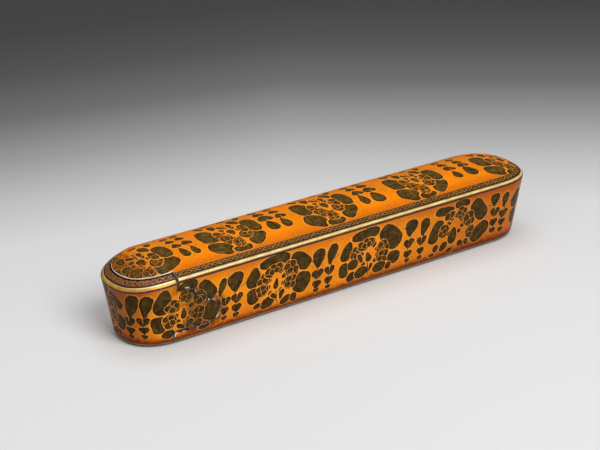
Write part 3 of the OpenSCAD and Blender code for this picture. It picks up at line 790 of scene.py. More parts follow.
def makeGilt():
    tone = giltEdge
    material, add = startMaterial("shellGold", metallic=0.3, roughness=0.36, coat=0.2, coatRoughness=0.25)
    plan = add("Group", node_tree=boxPlan).node.outputs
    place = plan["place"]
    cloud = add("MapRange", add("TexNoise", place, 1 / tone["cloud"], 4.0), 0.35, 0.68)
    colour = add("Mix.RGBA", cloud, tone["gold"], tone["goldDeep"])
    # painted highlight: a pale streak along the middle of the chamfer, fainter in the deeper gold
    paintedHighlight = add("SeparateXYZ", plan["side"]).node.outputs["Y"]
    paintedHighlight = add("Math.SUBTRACT", paintedHighlight, edgeHeight + tone["highlightRise"] * boxShape["gilt"])
    paintedHighlight = add("MapRange.SMOOTHSTEP", add("Math.ABSOLUTE", paintedHighlight), *tone["highlightFade"], 1.0, 0.0)
    paintedHighlight = add("Math.MULTIPLY", paintedHighlight, add("MapRange", cloud, 0, 1, 1.0, 0.6))
    colour = add("Mix.RGBA", paintedHighlight, colour, tone["paintedHighlight"])
    flake = add("TexNoise", place, 1 / tone["flake"], 5.0, 0.65)
    rub = add("MapRange.SMOOTHSTEP", flake, 0.6, 0.7, 0, 0.8)
    colour = add("Mix.RGBA", rub, colour, tone["through"])
    colour = addSeamWear(add, place, colour, seamWear["edgeSpread"])
    metal = add("MapRange", rub, 0, 1, 0.3, 0.1)
    rough = add("MapRange", flake, 0.3, 0.7, 0.28, 0.48)
    ends = {"Base Color": colour, "Metallic": metal, "Roughness": rough}
    return endMaterial(material, ends, flake, 0.4, 0.1)


# border painted in gold on dark brown lacquer: two strands that cross in a chain between thin rules
chainBorder = {
    "ground": "#1f0d03",
    "groundPale": "#3a200a",
    "gold": "#d8a044",
    "headTone": "#4c2212",
    "headPale": "#a9653e",
    "fleck": "#1a0a04",
    "repeat": 5.6,     # mm for two crossings
    # shares of the band's width
    "swing": 0.25,
    "strand": 0.066,
    "rule": 0.06,
    "ruleAt": 0.41,    # from the middle
    "wander": 0.09,
    "headRubbed": 0.8,
    "headGold": 0.4,
}


def makeChainBorder():
    tone = chainBorder
    material, add = startMaterial("chainBorderLacquer", coat=0.1, coatRoughness=0.15, specular=0.2)
    plan = add("Group", node_tree=boxPlan).node.outputs
    place = plan["place"]
    wander = add("MapRange", add("TexNoise", place, 0.7, 2.0), 0.3, 0.7, -tone["wander"], tone["wander"])
    run, band = add("SeparateXYZ", plan["rim"]).node.outputs[:2]
    band = add("Math.ADD", band, wander)
    run = add("Math.MULTIPLY_ADD", wander, 3.0, run)
    wave = add("Math.SINE", add("Math.MULTIPLY", run, 2 * pi / tone["repeat"]))
    wave = add("Math.MULTIPLY", wave, tone["swing"])
    # both strands at once, because they mirror each other about the middle of the band
    off = add("Math.ABSOLUTE", add("Math.SUBTRACT", band, 0.5))
    strand = add("Math.ABSOLUTE", add("Math.SUBTRACT", off, add("Math.ABSOLUTE", wave)))
    strand = add("MapRange.SMOOTHSTEP", strand, tone["strand"] * 0.5, tone["strand"] * 1.4, 1.0, 0.0)
    rule = add("Math.ABSOLUTE", add("Math.SUBTRACT", off, tone["ruleAt"]))
    rule = add("MapRange.SMOOTHSTEP", rule, tone["rule"] * 0.3, tone["rule"] * 0.8, 0.8, 0.0)
    wear = add("TexNoise", place, 1.3, 5.0, 0.65)
    worn = add("MapRange", wear, 0.38, 0.6, 1.0, 0.25)
    gold = add("Math.MULTIPLY", add("Math.MAXIMUM", strand, rule), worn)
    cloud = add("MapRange", add("TexNoise", place, 0.2, 4.0), 0.38, 0.68)
    colour = add("Mix.RGBA", cloud, tone["ground"], tone["groundPale"])
    # hands have rubbed the head's border down to the red-brown underneath
    onHead = add("Math.LESS_THAN", add("SeparateXYZ", place), seamX + 0.2)
    bare = add("MapRange", add("TexNoise", place, 0.75, 6.0, 0.7), 0.4, 0.64)
    rubbed = add("Mix.RGBA", bare, tone["headTone"], tone["headPale"])
    fleck = add("MapRange.SMOOTHSTEP", add("TexVoronoi", place, 0.85), 0.22, 0.4, 0.85, 0.0)
    rubbed = add("Mix.RGBA", fleck, rubbed, tone["fleck"])
    colour = add("Mix.RGBA", add("MapRange", onHead, 0, 1, 0.0, tone["headRubbed"]), colour, rubbed)
    gold = add("Math.MULTIPLY", gold, add("MapRange", onHead, 0, 1, 1.0, tone["headGold"]))
    colour = add("Mix.RGBA", gold, colour, tone["gold"])
    colour = addSeamWear(add, place, colour, seamWear["edgeSpread"])
    metal = add("MapRange", gold, 0, 1, 0, 0.3)
    rough = add("MapRange", wear, 0.3, 0.7, 0.34, 0.5)
    relief = add("Math.ADD", gold, wear)
    ends = {"Base Color": colour, "Metallic": metal, "Roughness": rough}
    return endMaterial(material, ends, relief, 0.3, 0.1)


# plain finishes made of two tones, a speckle of wear and a fine grain; sizes in millimetres
plainFinishes = {
    # one dark brown stroke of lacquer, rubbed at the edge
    "ruledLacquer": dict(tone="#140602", second="#2e1406", worn="#8a4e18", patch=6.0, grain=0.7, wear=0.65,
                         roughness=0.5, relief=0.05),
    # dark lacquer where the box stands on the table, chipped and dusty; on the rounded foot its darkness is
    # also painted shade
    "footLacquer": dict(tone="#2b1205", second="#4f260b", worn="#8a5a2a", patch=7.0, grain=0.6, wear=0.63,
                        roughness=0.5, coat=0.2, relief=0.08),
    # red-brown lacquer brushed on the hidden faces, dull and thin over the paper
    "innerLacquer": dict(tone="#7a2712", second="#5a1b0c", worn="#b98a58", patch=12.0, grain=0.5, wear=0.68,
                         roughness=0.55, coat=0.1, relief=0.06),
    # dull ochre gold ruled beside the gilt edge
    "goldRule": dict(tone="#c88f3a", second="#9a611f", worn="#6a3510", patch=5.0, grain=0.6, wear=0.6,
                     roughness=0.42, coat=0.1, relief=0.05, metallic=0.35),
    # the two faces of the seam, black with handling
    "seamInside": dict(tone="#140803", second="#2a1408", worn="#5a3416", patch=4.0, grain=0.6, wear=0.62,
                       roughness=0.6, relief=0.05),
    # chalk ground bared round the tongue by years of opening, cream with brown stains
    "tongueEdge": dict(tone="#e9dcc0", second="#cdb48a", worn="#5c3216", patch=4.0, grain=2.0, wear=0.62,
                       roughness=0.7, relief=0.06),
    # bare paper and chalk ground along a cut edge, handled till it is creamy and stained
    "cutEdge": dict(tone="#4a2410", second="#8a4f20", worn="#f6eedb", patch=2.5, grain=3.4, wear=0.45,
                    roughness=0.7, relief=0.08),
    # brass cast and filed, gone brown in the corners where hands don't reach
    "castBrass": dict(tone="#c79a4b", second="#a57c35", worn="#6e4f22", patch=6.0, grain=0.7, wear=0.6,
                      roughness=0.3, relief=0.03, metallic=1.0),
    # bone sawn and polished along its length, with brown pores and yellow patches
    "agedBone": dict(tone="#e9dfc4", second="#d9c79d", worn="#a17c48", patch=9.0, grain=0.5, wear=0.64,
                     roughness=0.36, coat=0.15, relief=0.03, draw=(0.1, 1.0, 1.0)),
    # steel forged and drawn on a stone, with brown spots of old rust
    "forgedSteel": dict(tone="#b9bbbd", second="#94989b", worn="#6a5340", patch=8.0, grain=0.35, wear=0.66,
                        roughness=0.3, relief=0.02, metallic=1.0, draw=(0.06, 1.0, 1.0)),
    # raw silk soaked in soot ink: matt black threads with a dull brown shine
    "inkedSilk": dict(tone="#15100d", second="#2b221c", worn="#55483b", patch=2.4, grain=0.35, wear=0.6,
                      roughness=0.7, relief=0.12, draw=(1.0, 1.0, 2.5)),
    # cane of the broad pen: honey brown streaks under a hard shine, black with ink at the nib
    "paleReed": dict(tone="#b07a3c", second="#8a5524", worn="#5a3212", patch=9.0, grain=0.45, wear=0.6,
                     roughness=0.34, coat=0.25, relief=0.04, draw=(0.05, 1.0, 1.0),
                     ink=(86.0, 93.0, "#17100c")),
    # darker smoked cane of the fine pen
    "darkReed": dict(tone="#7d4a22", second="#572e12", worn="#2f1708", patch=9.0, grain=0.45, wear=0.6,
                     roughness=0.34, coat=0.25, relief=0.04, draw=(0.05, 1.0, 1.0),
                     ink=(86.0, 93.0, "#17100c")),
}


def makePlain(name):
    tone = plainFinishes[name]
    material, add = startMaterial(name, metallic=tone.get("metallic", 0.0), coat=tone.get("coat", 0.0))
    place = add("VectorMath.MULTIPLY", placeInMm(add), tone.get("draw", (1.0, 1.0, 1.0)))
    patch = add("MapRange", add("TexNoise", place, 1 / tone["patch"], 4.0), 0.35, 0.65)
    colour = add("Mix.RGBA", patch, tone["tone"], tone["second"])
    grain = add("TexNoise", place, 1 / tone["grain"], 5.0, 0.65)
    rub = add("MapRange.SMOOTHSTEP", grain, tone["wear"], tone["wear"] + 0.1, 0, 0.8)
    colour = add("Mix.RGBA", rub, colour, tone["worn"])
    if "ink" in tone:  # stained between two places along the box
        start, full, ink = tone["ink"]
        along = add("SeparateXYZ", add("TexCoord").node.outputs["Object"])
        along = add("Math.MULTIPLY_ADD", grain, 6 * mm, along)
        colour = add("Mix.RGBA", add("MapRange", along, start * mm, full * mm, 0, 0.95), colour, ink)
    rough = tone["roughness"]
    rough = add("MapRange", grain, 0.3, 0.7, rough * 0.8, min(1.0, rough * 1.2))
    return endMaterial(material, {"Base Color": colour, "Roughness": rough}, grain, 0.5, tone["relief"])


finish = {name: makePlain(name) for name in plainFinishes}
finish["side"] = makeFlowerLacquer("flowerLacquerSide", "side", sideStrokes)
finish["top"] = makeFlowerLacquer("flowerLacquerTop", "top", topStrokes)
finish["gilt"] = makeGilt()
finish["border"] = makeChainBorder()
print("finishes made")

# the two shells: case and drawer head, swept from one section
shellParts = {
    "caseSkin": {"body": "case", "node": "case_shell", "slot": "lacquer_case", "wall": 2.5, "shelf": 3.0,
                 "lip": boxShape["border"], "band": boxShape["band"], "soft": 0.03, "drop": 0.0,
                 "cut": "DIFFERENCE", "gap": boxShape["gap"]},
    "headSkin": {"body": "drawer", "node": "drawer_head", "slot": "lacquer_head", "wall": 2.9, "shelf": 3.3,
                 "lip": boxShape["border"] - boxShape["gap"],
                 "band": boxShape["border"] - boxShape["gap"] - 0.25,
                 "soft": 0.3, "drop": boxShape["headSet"], "cut": "INTERSECT", "gap": 0.0},
}
shellFinishes = ["footLacquer", "side", "ruledLacquer", "gilt", "goldRule", "border", "cutEdge",
                 "innerLacquer", "seamInside", "top"]
shellDetail = {"endSteps": 26, "sideSteps": 30, "footSteps": 7, "footDark": 4, "lipSteps": 6, "rule": 0.85,
               "soft": 0.3, "overhang": 1.5}


def makeShell(name):
    part = shellParts[name]
    r, drop, lip, band = boxShape["footRadius"], part["drop"], part["lip"], part["band"]
    gilt, rule, dark = boxShape["gilt"], shellDetail["rule"], shellDetail["footDark"]
    section = []
    for k in range(shellDetail["footSteps"] + 1):
        a = radians(270) - k / shellDetail["footSteps"] * (radians(90) - leanAngle)
        # the lower steps of the rounded foot take the dark foot lacquer: dark lacquer, and partly painted
        # shade under the box
        label = "footLacquer" if k < dark else "goldRule" if k == dark else "side"
        section.append((footInset + r * cos(a), r + r * sin(a), label))
    low, high = section[-1][1], edgeHeight - drop
    for share in (0.03, 0.5, 0.97):
        z = low + (high - rule - low) * share
        section.append((wallInset(z), z, "side"))
    section += [(wallInset(high - rule), high - rule, "ruledLacquer"),
                (wallInset(edgeHeight) + 0.02, high - 0.12, "ruledLacquer"), (0.12, high + 0.1, "goldRule"),
                (0.4, high + 0.4, "gilt"), (gilt - 0.3, high + gilt - 0.3, "ruledLacquer")]
    start = gilt + 0.25
    for k in range(shellDetail["lipSteps"] + 1):
        inset = start + (band - start) * k / shellDetail["lipSteps"]
        label = "border" if k < shellDetail["lipSteps"] else "ruledLacquer"
        section.append((inset, edgeHeight + domeRise(inset) - drop, label))
    if part["body"] == "case":  # the top's painting runs over the border's inner edge
        section += [(inset, edgeHeight + domeRise(inset), "top") for inset in (band + 0.15, lip - 0.03)]
    top, under = edgeHeight + domeRise(lip) - drop, edgeHeight - shellDetail["overhang"]
    section += [(lip, top - part["soft"], "ruledLacquer"), (lip, top - boxShape["panel"], "innerLacquer"),
                (wallInset(under) + part["wall"], under - drop, "innerLacquer"),
                (wallInset(part["shelf"]) + part["wall"], part["shelf"], "innerLacquer"),
                (footInset, part["shelf"], "innerLacquer")]
    stations = outlineStations(shellDetail["endSteps"], shellDetail["sideSteps"])
    bm = sweepSection(section, stations, True, shellFinishes, wallPlace)
    skin = toObject(bm, name, [finish[f] for f in shellFinishes])
    cutAtSeam(skin, part["cut"], part["gap"], shellDetail["soft"])
    ridePiece(skin, part["body"], part["node"])


for shellName in shellParts:
    makeShell(shellName)

# domed panel with its tongue
coverDetail = {"endSteps": 26, "sideSteps": 60, "domeSteps": 16, "soft": 0.5}


def makeCover():
    lip, soft, panel = boxShape["border"], coverDetail["soft"], boxShape["panel"]
    rimTop = edgeHeight + domeRise(lip)
    insets = [lip + soft + (halfWidth - lip - soft) * k / coverDetail["domeSteps"]
              for k in range(coverDetail["domeSteps"] + 1)]
    # from the middle of the underside out round the rim and back over the dome, open at the ridge
    section = [(inset, edgeHeight + domeRise(inset) - panel, "innerLacquer") for inset in reversed(insets)]
    section += [(lip, rimTop - panel, "ruledLacquer"), (lip + 0.02, rimTop - soft * 0.8, "tongueEdge"),
                (lip + soft * 0.25, rimTop - soft * 0.3, "tongueEdge"),
                (lip + soft * 0.55, rimTop - soft * 0.05, "top")]
    section += [(inset, edgeHeight + domeRise(inset), "top") for inset in insets]
    finishes = ["top", "tongueEdge", "ruledLacquer", "innerLacquer"]
    stations = outlineStations(coverDetail["endSteps"], coverDetail["sideSteps"])
    bm = sweepSection(section, stations, False, finishes, panelPlace)
    # where panel and border are one surface their edge is painted over; it stays bare round the tongue
    for face in bm.faces:
        bare = face.material_index == finishes.index("tongueEdge")
        if bare and face.calc_center_median().x > (seamX + 0.3) * mm:
            face.material_index = finishes.index("top")
    cover = toObject(bm, "coverSkin", [finish[f] for f in finishes])
    ridePiece(cover, "case", "case_cover")


makeCover()


# turns a drawn profile of (radius, height) once round the upright axis
def turned(profile, steps=48):
    return cleaned(spun([(r * mm, h * mm) for r, h in profile], False, steps))


# a round rod or cutter from the origin up
def rod(radius, length, steps=48):
    return turned([(0, 0), (radius, 0), (radius, length), (0, length)], steps)


# a smooth line through the points of a profile
def flowing(points, steps=6):
    ends = [points[0]] + list(points) + [points[-1]]
    line = []
    for a, b, c, d in zip(ends, ends[1:], ends[2:], ends[3:]):
        for k in range(steps):
            t = k / steps
            line.append(tuple(0.5 * (2 * b[i] + (c[i] - a[i]) * t
                                     + (2 * a[i] - 5 * b[i] + 4 * c[i] - d[i]) * t * t
                                     + (3 * b[i] - a[i] - 3 * c[i] + d[i]) * t ** 3) for i in (0, 1)))
    return line + [points[-1]]


# a block between two corners, its upright edges rounded first and then its other edges
def block(low, high, corner=0.0, edge=0.0):
    bm = bmesh.new()
    bmesh.ops.create_cube(bm, size=1.0)
    bmesh.ops.scale(bm, vec=[(b - a) * mm for a, b in zip(low, high)], verts=bm.verts)
    bmesh.ops.translate(bm, vec=[(a + b) / 2 * mm for a, b in zip(low, high)], verts=bm.verts)
    for width, upright, segments in ((corner, True, 8), (edge, False, 3)):
        if width:
            bevelled(bm, [e for e in bm.edges if e.calc_face_angle(0) > radians(meshDetail["bevelFrom"])
                          and (abs(e.verts[0].co.z - e.verts[1].co.z) > 1e-6) == upright], width, segments)
    return bm


# lays a turned mesh along another axis and puts it in its place
def placed(bm, where, axis="Z"):
    lay = {"Z": Matrix.Identity(4), "X": Matrix.Rotation(pi / 2, 4, "Y"),
           "Y": Matrix.Rotation(-pi / 2, 4, "X")}[axis]
    bmesh.ops.transform(bm, matrix=Matrix.Translation(Vector(where) * mm) @ lay, verts=bm.verts)
    return bm


# tilts a mesh about an axis through the origin and then moves it
def tilted(bm, where, angle, axis):
    matrix = Matrix.Translation(Vector(where) * mm) @ Matrix.Rotation(angle, 4, axis)
    bmesh.ops.transform(bm, matrix=matrix, verts=bm.verts)
    return bm


# joins meshes to the first one or cuts them out of it
def combined(bm, operation, tools):
    base = toObject(bm, "blank", [])
    for other in tools:
        carve(base, operation, toObject(other, "tool", []))
    bm = bmesh.new()
    bm.from_mesh(base.data)
    bpy.data.objects.remove(base)
    bmesh.ops.remove_doubles(bm, verts=bm.verts, dist=meshDetail["cutMerge"] * mm)
    return bm


def addPiece(bm, name, finishName, body, node, soften=0.0):
    for face in bm.faces:
        face.smooth = True
    piece = toObject(bm, name, [finish[finishName]], meshDetail["pieceSharp"])
    if soften:
        edges = piece.modifiers.new("softEdges", "BEVEL")
        edges.width, edges.segments = soften * mm, 2
        edges.limit_method, edges.angle_limit = "ANGLE", radians(38)
    ridePiece(piece, body, node)
    return piece


# tray: wall round the drawer with a rounded gilt rim, and the divider with its finger notch
trayShape = {"rimRound": 0.45, "rimSteps": 8, "endSteps": 22, "sideSteps": 24, "cutX": seamX + 1.5,
             "dividerX": -70.0, "dividerShare": 0.6, "notchRadius": 0.31, "notchRise": 0.18, "notchSteps": 20,
             "soften": 0.3}


def traySide(height):
    return wallInset(height) + boxShape["wall"] + boxShape["trayGap"]


bedHeight, trayRim, trayThick = boxShape["trayBed"], boxShape["trayRim"], boxShape["trayWall"]
bayHalf = halfWidth - traySide(bedHeight) - trayThick
bayWidth = 2 * bayHalf


def makeTray():
    soft, steps = trayShape["rimRound"], trayShape["rimSteps"]
    finishes = ["innerLacquer", "goldRule"]
    section = [(traySide(z), z, "innerLacquer") for z in (bedHeight, trayRim - soft)]
    middle = traySide(trayRim - soft) + trayThick / 2
    for k in range(1, steps):
        a = radians(180 - 180 * k / steps)
        section.append((middle + trayThick / 2 * cos(a), trayRim - soft + soft * sin(a), "goldRule"))
    section += [(traySide(z) + trayThick, z, "innerLacquer") for z in (trayRim - soft, bedHeight)]
    stations = outlineStations(trayShape["endSteps"], trayShape["sideSteps"])
    bm = sweepSection(section, stations, True, finishes, lambda x, inset, height: height)
    cut = sliced(bm, (trayShape["cutX"] * mm, 0, 0), (1, 0, 0), True)
    bmesh.ops.edgeloop_fill(bm, edges=[g for g in cut if isinstance(g, bmesh.types.BMEdge)])
    bmesh.ops.recalc_face_normals(bm, faces=bm.faces)
    ridePiece(toObject(bm, "trayWall", [finish[f] for f in finishes]), "drawer", "tray_wall")

    top = bedHeight + trayShape["dividerShare"] * (trayRim - bedHeight)
    topHalf = halfWidth - traySide(top) - trayThick
    notch, rise = bayWidth * trayShape["notchRadius"], bayWidth * trayShape["notchRise"]
    reach, steps = atan2(rise, (notch ** 2 - rise ** 2) ** 0.5), trayShape["notchSteps"]
    arc = [-pi + reach + (pi - 2 * reach) * k / steps for k in range(steps + 1)]
    corners = [(-bayHalf, bedHeight), (-topHalf, top)]
    corners += [(notch * cos(a), top + rise + notch * sin(a)) for a in arc]
    corners += [(topHalf, top), (bayHalf, bedHeight)]
    bm = extruded([(trayShape["dividerX"], y, z) for y, z in corners], (trayThick, 0, 0))
    addPiece(bm, "trayDivider", "innerLacquer", "drawer", "tray_divider",
             trayShape["soften"])


makeTray()

# inkwell: brass box with two engraved lines, a collar round its mouth, a hinged lid with a knob
inkwell = {
    "x": -103.0, "length": 32.0, "width": 23.0, "height": 11.0, "brass": 1.2, "corner": 4.0, "edge": 0.8,
    "hollowEdge": 0.5, "grooves": (1.9, 8.7), "grooveDepth": 0.28, "grooveHalf": 0.3, "soften": 0.12,
    "mouth": 4.6, "lid": 6.6, "lidX": -85.3, "hingeX": -76.0, "hingeRise": 1.9, "knuckle": 1.7, "pin": 0.8,
    "pinPlay": 0.05, "lug": (2.2, 4.9), "lugSoft": 0.15, "lugSunk": 0.4, "strapHalf": 2.0, "lidThick": 1.2,
    "lidRise": 1.4, "rivet": 0.7,
}


def makeInkwell():
    w = inkwell
    top, half, t = bedHeight + w["height"], w["width"] / 2, w["brass"]
    hingeX, hingeZ, k, pin = w["hingeX"], bedHeight + w["height"] + w["hingeRise"], w["knuckle"], w["pin"]
    body = block((w["x"], -half, bedHeight), (w["x"] + w["length"], half, top), w["corner"], w["edge"])
    for level in w["grooves"]:
        for step in (-1, 0, 1):
            sliced(body, (0, 0, (bedHeight + level + step * w["grooveHalf"]) * mm), (0, 0, 1))
        body.normal_update()
        for v in body.verts:
            if abs(v.co.z - (bedHeight + level) * mm) < 1e-6:
                v.co -= v.normal.normalized() * w["grooveDepth"] * mm
    hollow = block((w["x"] + t, -half + t, bedHeight + t), (w["x"] + w["length"] - t, half - t, top - t),
                   w["corner"] - t, w["hollowEdge"])
    mouth = placed(rod(w["mouth"], 9), (w["lidX"], 0, top - 3))
    body = combined(body, "DIFFERENCE", [hollow, mouth])
    near, far = w["lug"]
    wide, soft = far - near, w["lugSoft"]
    lugs, bores = [], []
    for side in (-1, 1):
        middle = side * (near + far) / 2
        barrel = [(0, 0), (k - soft, 0), (k, soft), (k, wide - soft), (k - soft, wide), (0, wide)]
        lug = placed(turned(barrel, 32), (hingeX, middle - wide / 2, hingeZ), "Y")
        foot = block((hingeX - k, middle - wide / 2, top - w["lugSunk"]),
                     (hingeX + k, middle + wide / 2, hingeZ))
        lugs.append(combined(lug, "UNION", [foot]))
        bores.append(placed(rod(pin, 5, 24), (hingeX, middle - 2.5, hingeZ), "Y"))
    body = combined(combined(body, "UNION", lugs), "DIFFERENCE", bores)
    addPiece(body, "inkwellBody", "castBrass", "drawer", "inkwell_body", w["soften"])

    inner, outer = w["mouth"], w["lid"] - 0.4
    ring = [(inner, 0.0), (outer - 0.05, 0.0), (outer, 0.1), (outer, 0.5), (outer - 0.25, 0.62),
            (outer - 0.25, 0.78), (outer - 0.1, 0.9), (outer - 0.15, 1.1), (outer - 0.35, 1.2),
            (inner + 0.25, 1.2), (inner, 1.0), (inner, 0.0)]
    ring = placed(turned(ring, 64), (w["lidX"], 0, top))
    addPiece(ring, "inkwellCollar", "castBrass", "drawer", "inkwell_collar")
    r = pin - 0.02
    peg = [(0, -far), (r * 0.6, -far + 0.05), (r, -far + 0.3), (r, far - 0.3), (r * 0.6, far - 0.05),
           (0, far)]
    peg = placed(turned(peg, 32), (hingeX, 0, hingeZ), "Y")
    addPiece(peg, "hingePin", "castBrass", "drawer", "hinge_pin")

    low, high, r, rivet = top + w["lidRise"], top + w["lidRise"] + w["lidThick"], w["lid"], w["rivet"]
    disc = [(rivet, low), (r - 0.3, low), (r, low + 0.25), (r, high - 0.35), (r - 0.12, high - 0.12),
            (r - 0.4, high), (r - 1.0, high), (r - 1.15, high - 0.18), (r - 1.45, high - 0.18),
            (r - 1.6, high), (3.2, high), (3.05, high - 0.14), (2.75, high - 0.14), (2.6, high),
            (rivet, high), (rivet, low)]
    lid = placed(turned(disc, 72), (w["lidX"], 0, 0))
    strap = block((w["lidX"] + r - 0.8, -w["strapHalf"], low), (hingeX, w["strapHalf"], high), 0.0, 0.2)
    knuckle = [(0, -2), (k - 0.12, -2), (k, -1.88), (k, -0.75), (k - 0.15, -0.6), (k - 0.15, 0.6), (k, 0.75),
               (k, 1.88), (k - 0.12, 2), (0, 2)]
    knuckle = placed(turned(knuckle, 40), (hingeX, 0, hingeZ), "Y")
    bore = placed(rod(pin + w["pinPlay"], 6, 24), (hingeX, -3, hingeZ), "Y")
    lid = combined(combined(lid, "UNION", [strap, knuckle]), "DIFFERENCE", [bore])
    addPiece(lid, "inkwellLid", "castBrass", "lid", "inkwell_lid")
    knob = ([(0, -w["lidThick"]), (rivet, -w["lidThick"]), (rivet, 0), (1.5, 0.02), (1.5, 0.2), (1.15, 0.35),
             (0.9, 0.62)]
            + [(1.55 * cos(radians(a)), 2 + 1.35 * sin(radians(a))) for a in range(-52, 70, 9)]
            + [(0.42, 3.34), (0.3, 3.45), (0, 3.6)])
    knob = placed(turned(knob, 40), (w["lidX"], 0, high))
    addPiece(knob, "lidKnob", "castBrass", "lid", "lid_knob")


makeInkwell()

# wad of raw silk that holds the ink: a soft, tangled disc, flat where it lies on the brass
silkWad = {"radius": 8.2, "low": 6.55, "high": 10.2, "x": -85.3, "tangle": 0.42, "strand": 1.15,
           "fullness": 0.75, "swirl": 1.6}


def makeSilkWad():
    w = silkWad
    bm = bmesh.new()
    bmesh.ops.create_icosphere(bm, subdivisions=6, radius=1.0)
    for v in bm.verts:
        x, y, z = v.co
        across = hypot(x, y)
        full = min(1.0, across) ** w["fullness"]  # fuller than a ball, so it fills the well
        x, y = (x / across * full, y / across * full) if across > 1e-6 else (x, y)
        swirl = atan2(y, x) + w["swirl"] * across
        far = w["radius"] * across
        strand = Vector((far / w["strand"], 3.0 * cos(swirl), 3.0 * sin(swirl)))
        curl = noise.noise(strand + Vector((4, 2, 7)))
        fine = noise.noise(Vector((x, y, z)) * w["radius"] / w["strand"] * 1.7)
        push = w["tangle"] * (1 - 2 * abs(curl)) + 0.5 * w["tangle"] * fine
        high = (w["low"] + w["high"]) / 2 + (w["high"] - w["low"]) / 2 * z * 0.86
        high += push * max(0.0, z) ** 0.5 * 0.9
        reach = w["radius"] * (0.93 + 0.05 * fine)
        v.co = Vector((w["x"] + x * reach, y * reach, max(w["low"], min(w["high"], high)))) * mm
    bmesh.ops.smooth_vert(bm, verts=bm.verts, factor=0.3, use_axis_x=True, use_axis_y=True, use_axis_z=True)
    bmesh.ops.recalc_face_normals(bm, faces=bm.faces)
    wad = addPiece(bm, "silkWad", "inkedSilk", "drawer", "silk_wad")


makeSilkWad()

# writing set, side by side on the tray's floor; shares of the pen bay as in the part's source
writingSet = {
    "start": -65.0, "penShare": 0.905, "handleShare": 0.395, "bladeShare": 0.24, "wallGap": 1.13,
    "penGap": 0.036, "knifeGap": 0.022,
    "pens": {"reedPenBroad": {"radius": 0.133, "nib": 0.83, "node": "reed_pen_broad", "slot": "reed",
                              "finish": "paleReed"},
             "reedPenFine": {"radius": 0.122, "nib": 0.48, "node": "reed_pen_fine", "slot": "reed_dark",
                             "finish": "darkReed"}},
    "scoop": 9, "cheek": 14,  # degrees that the nib's top and sides are cut at
    "knife": 0.14, "slit": 0.16, "slitLength": 2.0, "spoon": 0.155, "rest": 0.074, "lift": 0.05,
}
bayStart = writingSet["start"]
bayLength = boxShape["length"] / 2 - traySide(bedHeight) - trayThick - bayStart
penLength = writingSet["penShare"] * bayLength


# reed pen: a turned stem with one joint of the cane, hollow at the nib and cut like a pen
def makePen(name, r, y):
    pen, length = writingSet["pens"][name], penLength
    stem = [(1.0, 0.17 * r), (0.985, length * 0.15), (0.95, length * 0.345), (0.97, length * 0.362),
            (1.04, length * 0.37), (1.0, length * 0.376), (0.93, length * 0.379), (0.97, length * 0.386),
            (0.92, length * 0.7), (0.86, length)]
    hollow = length - 9.5 * r
    profile = ([(0, 0.25 * r), (0.3 * r, 0.22 * r), (0.36 * r, 0.0), (0.86 * r, 0)]
               + flowing([(share * r, h) for share, h in stem])
               + [(0.58 * r, length), (0.58 * r, hollow), (0, hollow)])
    # as lying on the table the pen's own x points down, so the scoop is on its upper side
    scoop = block((-3 * r, -4 * r, 0), (1.6 * r, 4 * r, 12 * r))
    tools = [tilted(scoop, (-2 * r, 0, length - 6.7 * r), radians(writingSet["scoop"]), "Y")]
    for side in (-1, 1):
        cheek = block((-3 * r, 0 if side > 0 else -2 * r, -4 * r), (3 * r, 2 * r if side > 0 else 0, 2 * r))
        angle = radians(side * writingSet["cheek"])
        tools.append(tilted(cheek, (0, side * pen["nib"] * r / 2, length), angle, "X"))
    slit = writingSet["slit"] / 2
    tools.append(block((0, -slit, length - writingSet["slitLength"] * r), (2 * r, slit, length + 1)))
    bm = combined(turned(profile, 40), "DIFFERENCE", tools)
    placed(bm, (bayStart, y, bedHeight + 1.04 * r + writingSet["lift"]), "X")
    addPiece(bm, name, pen["finish"], "drawer", pen["node"])


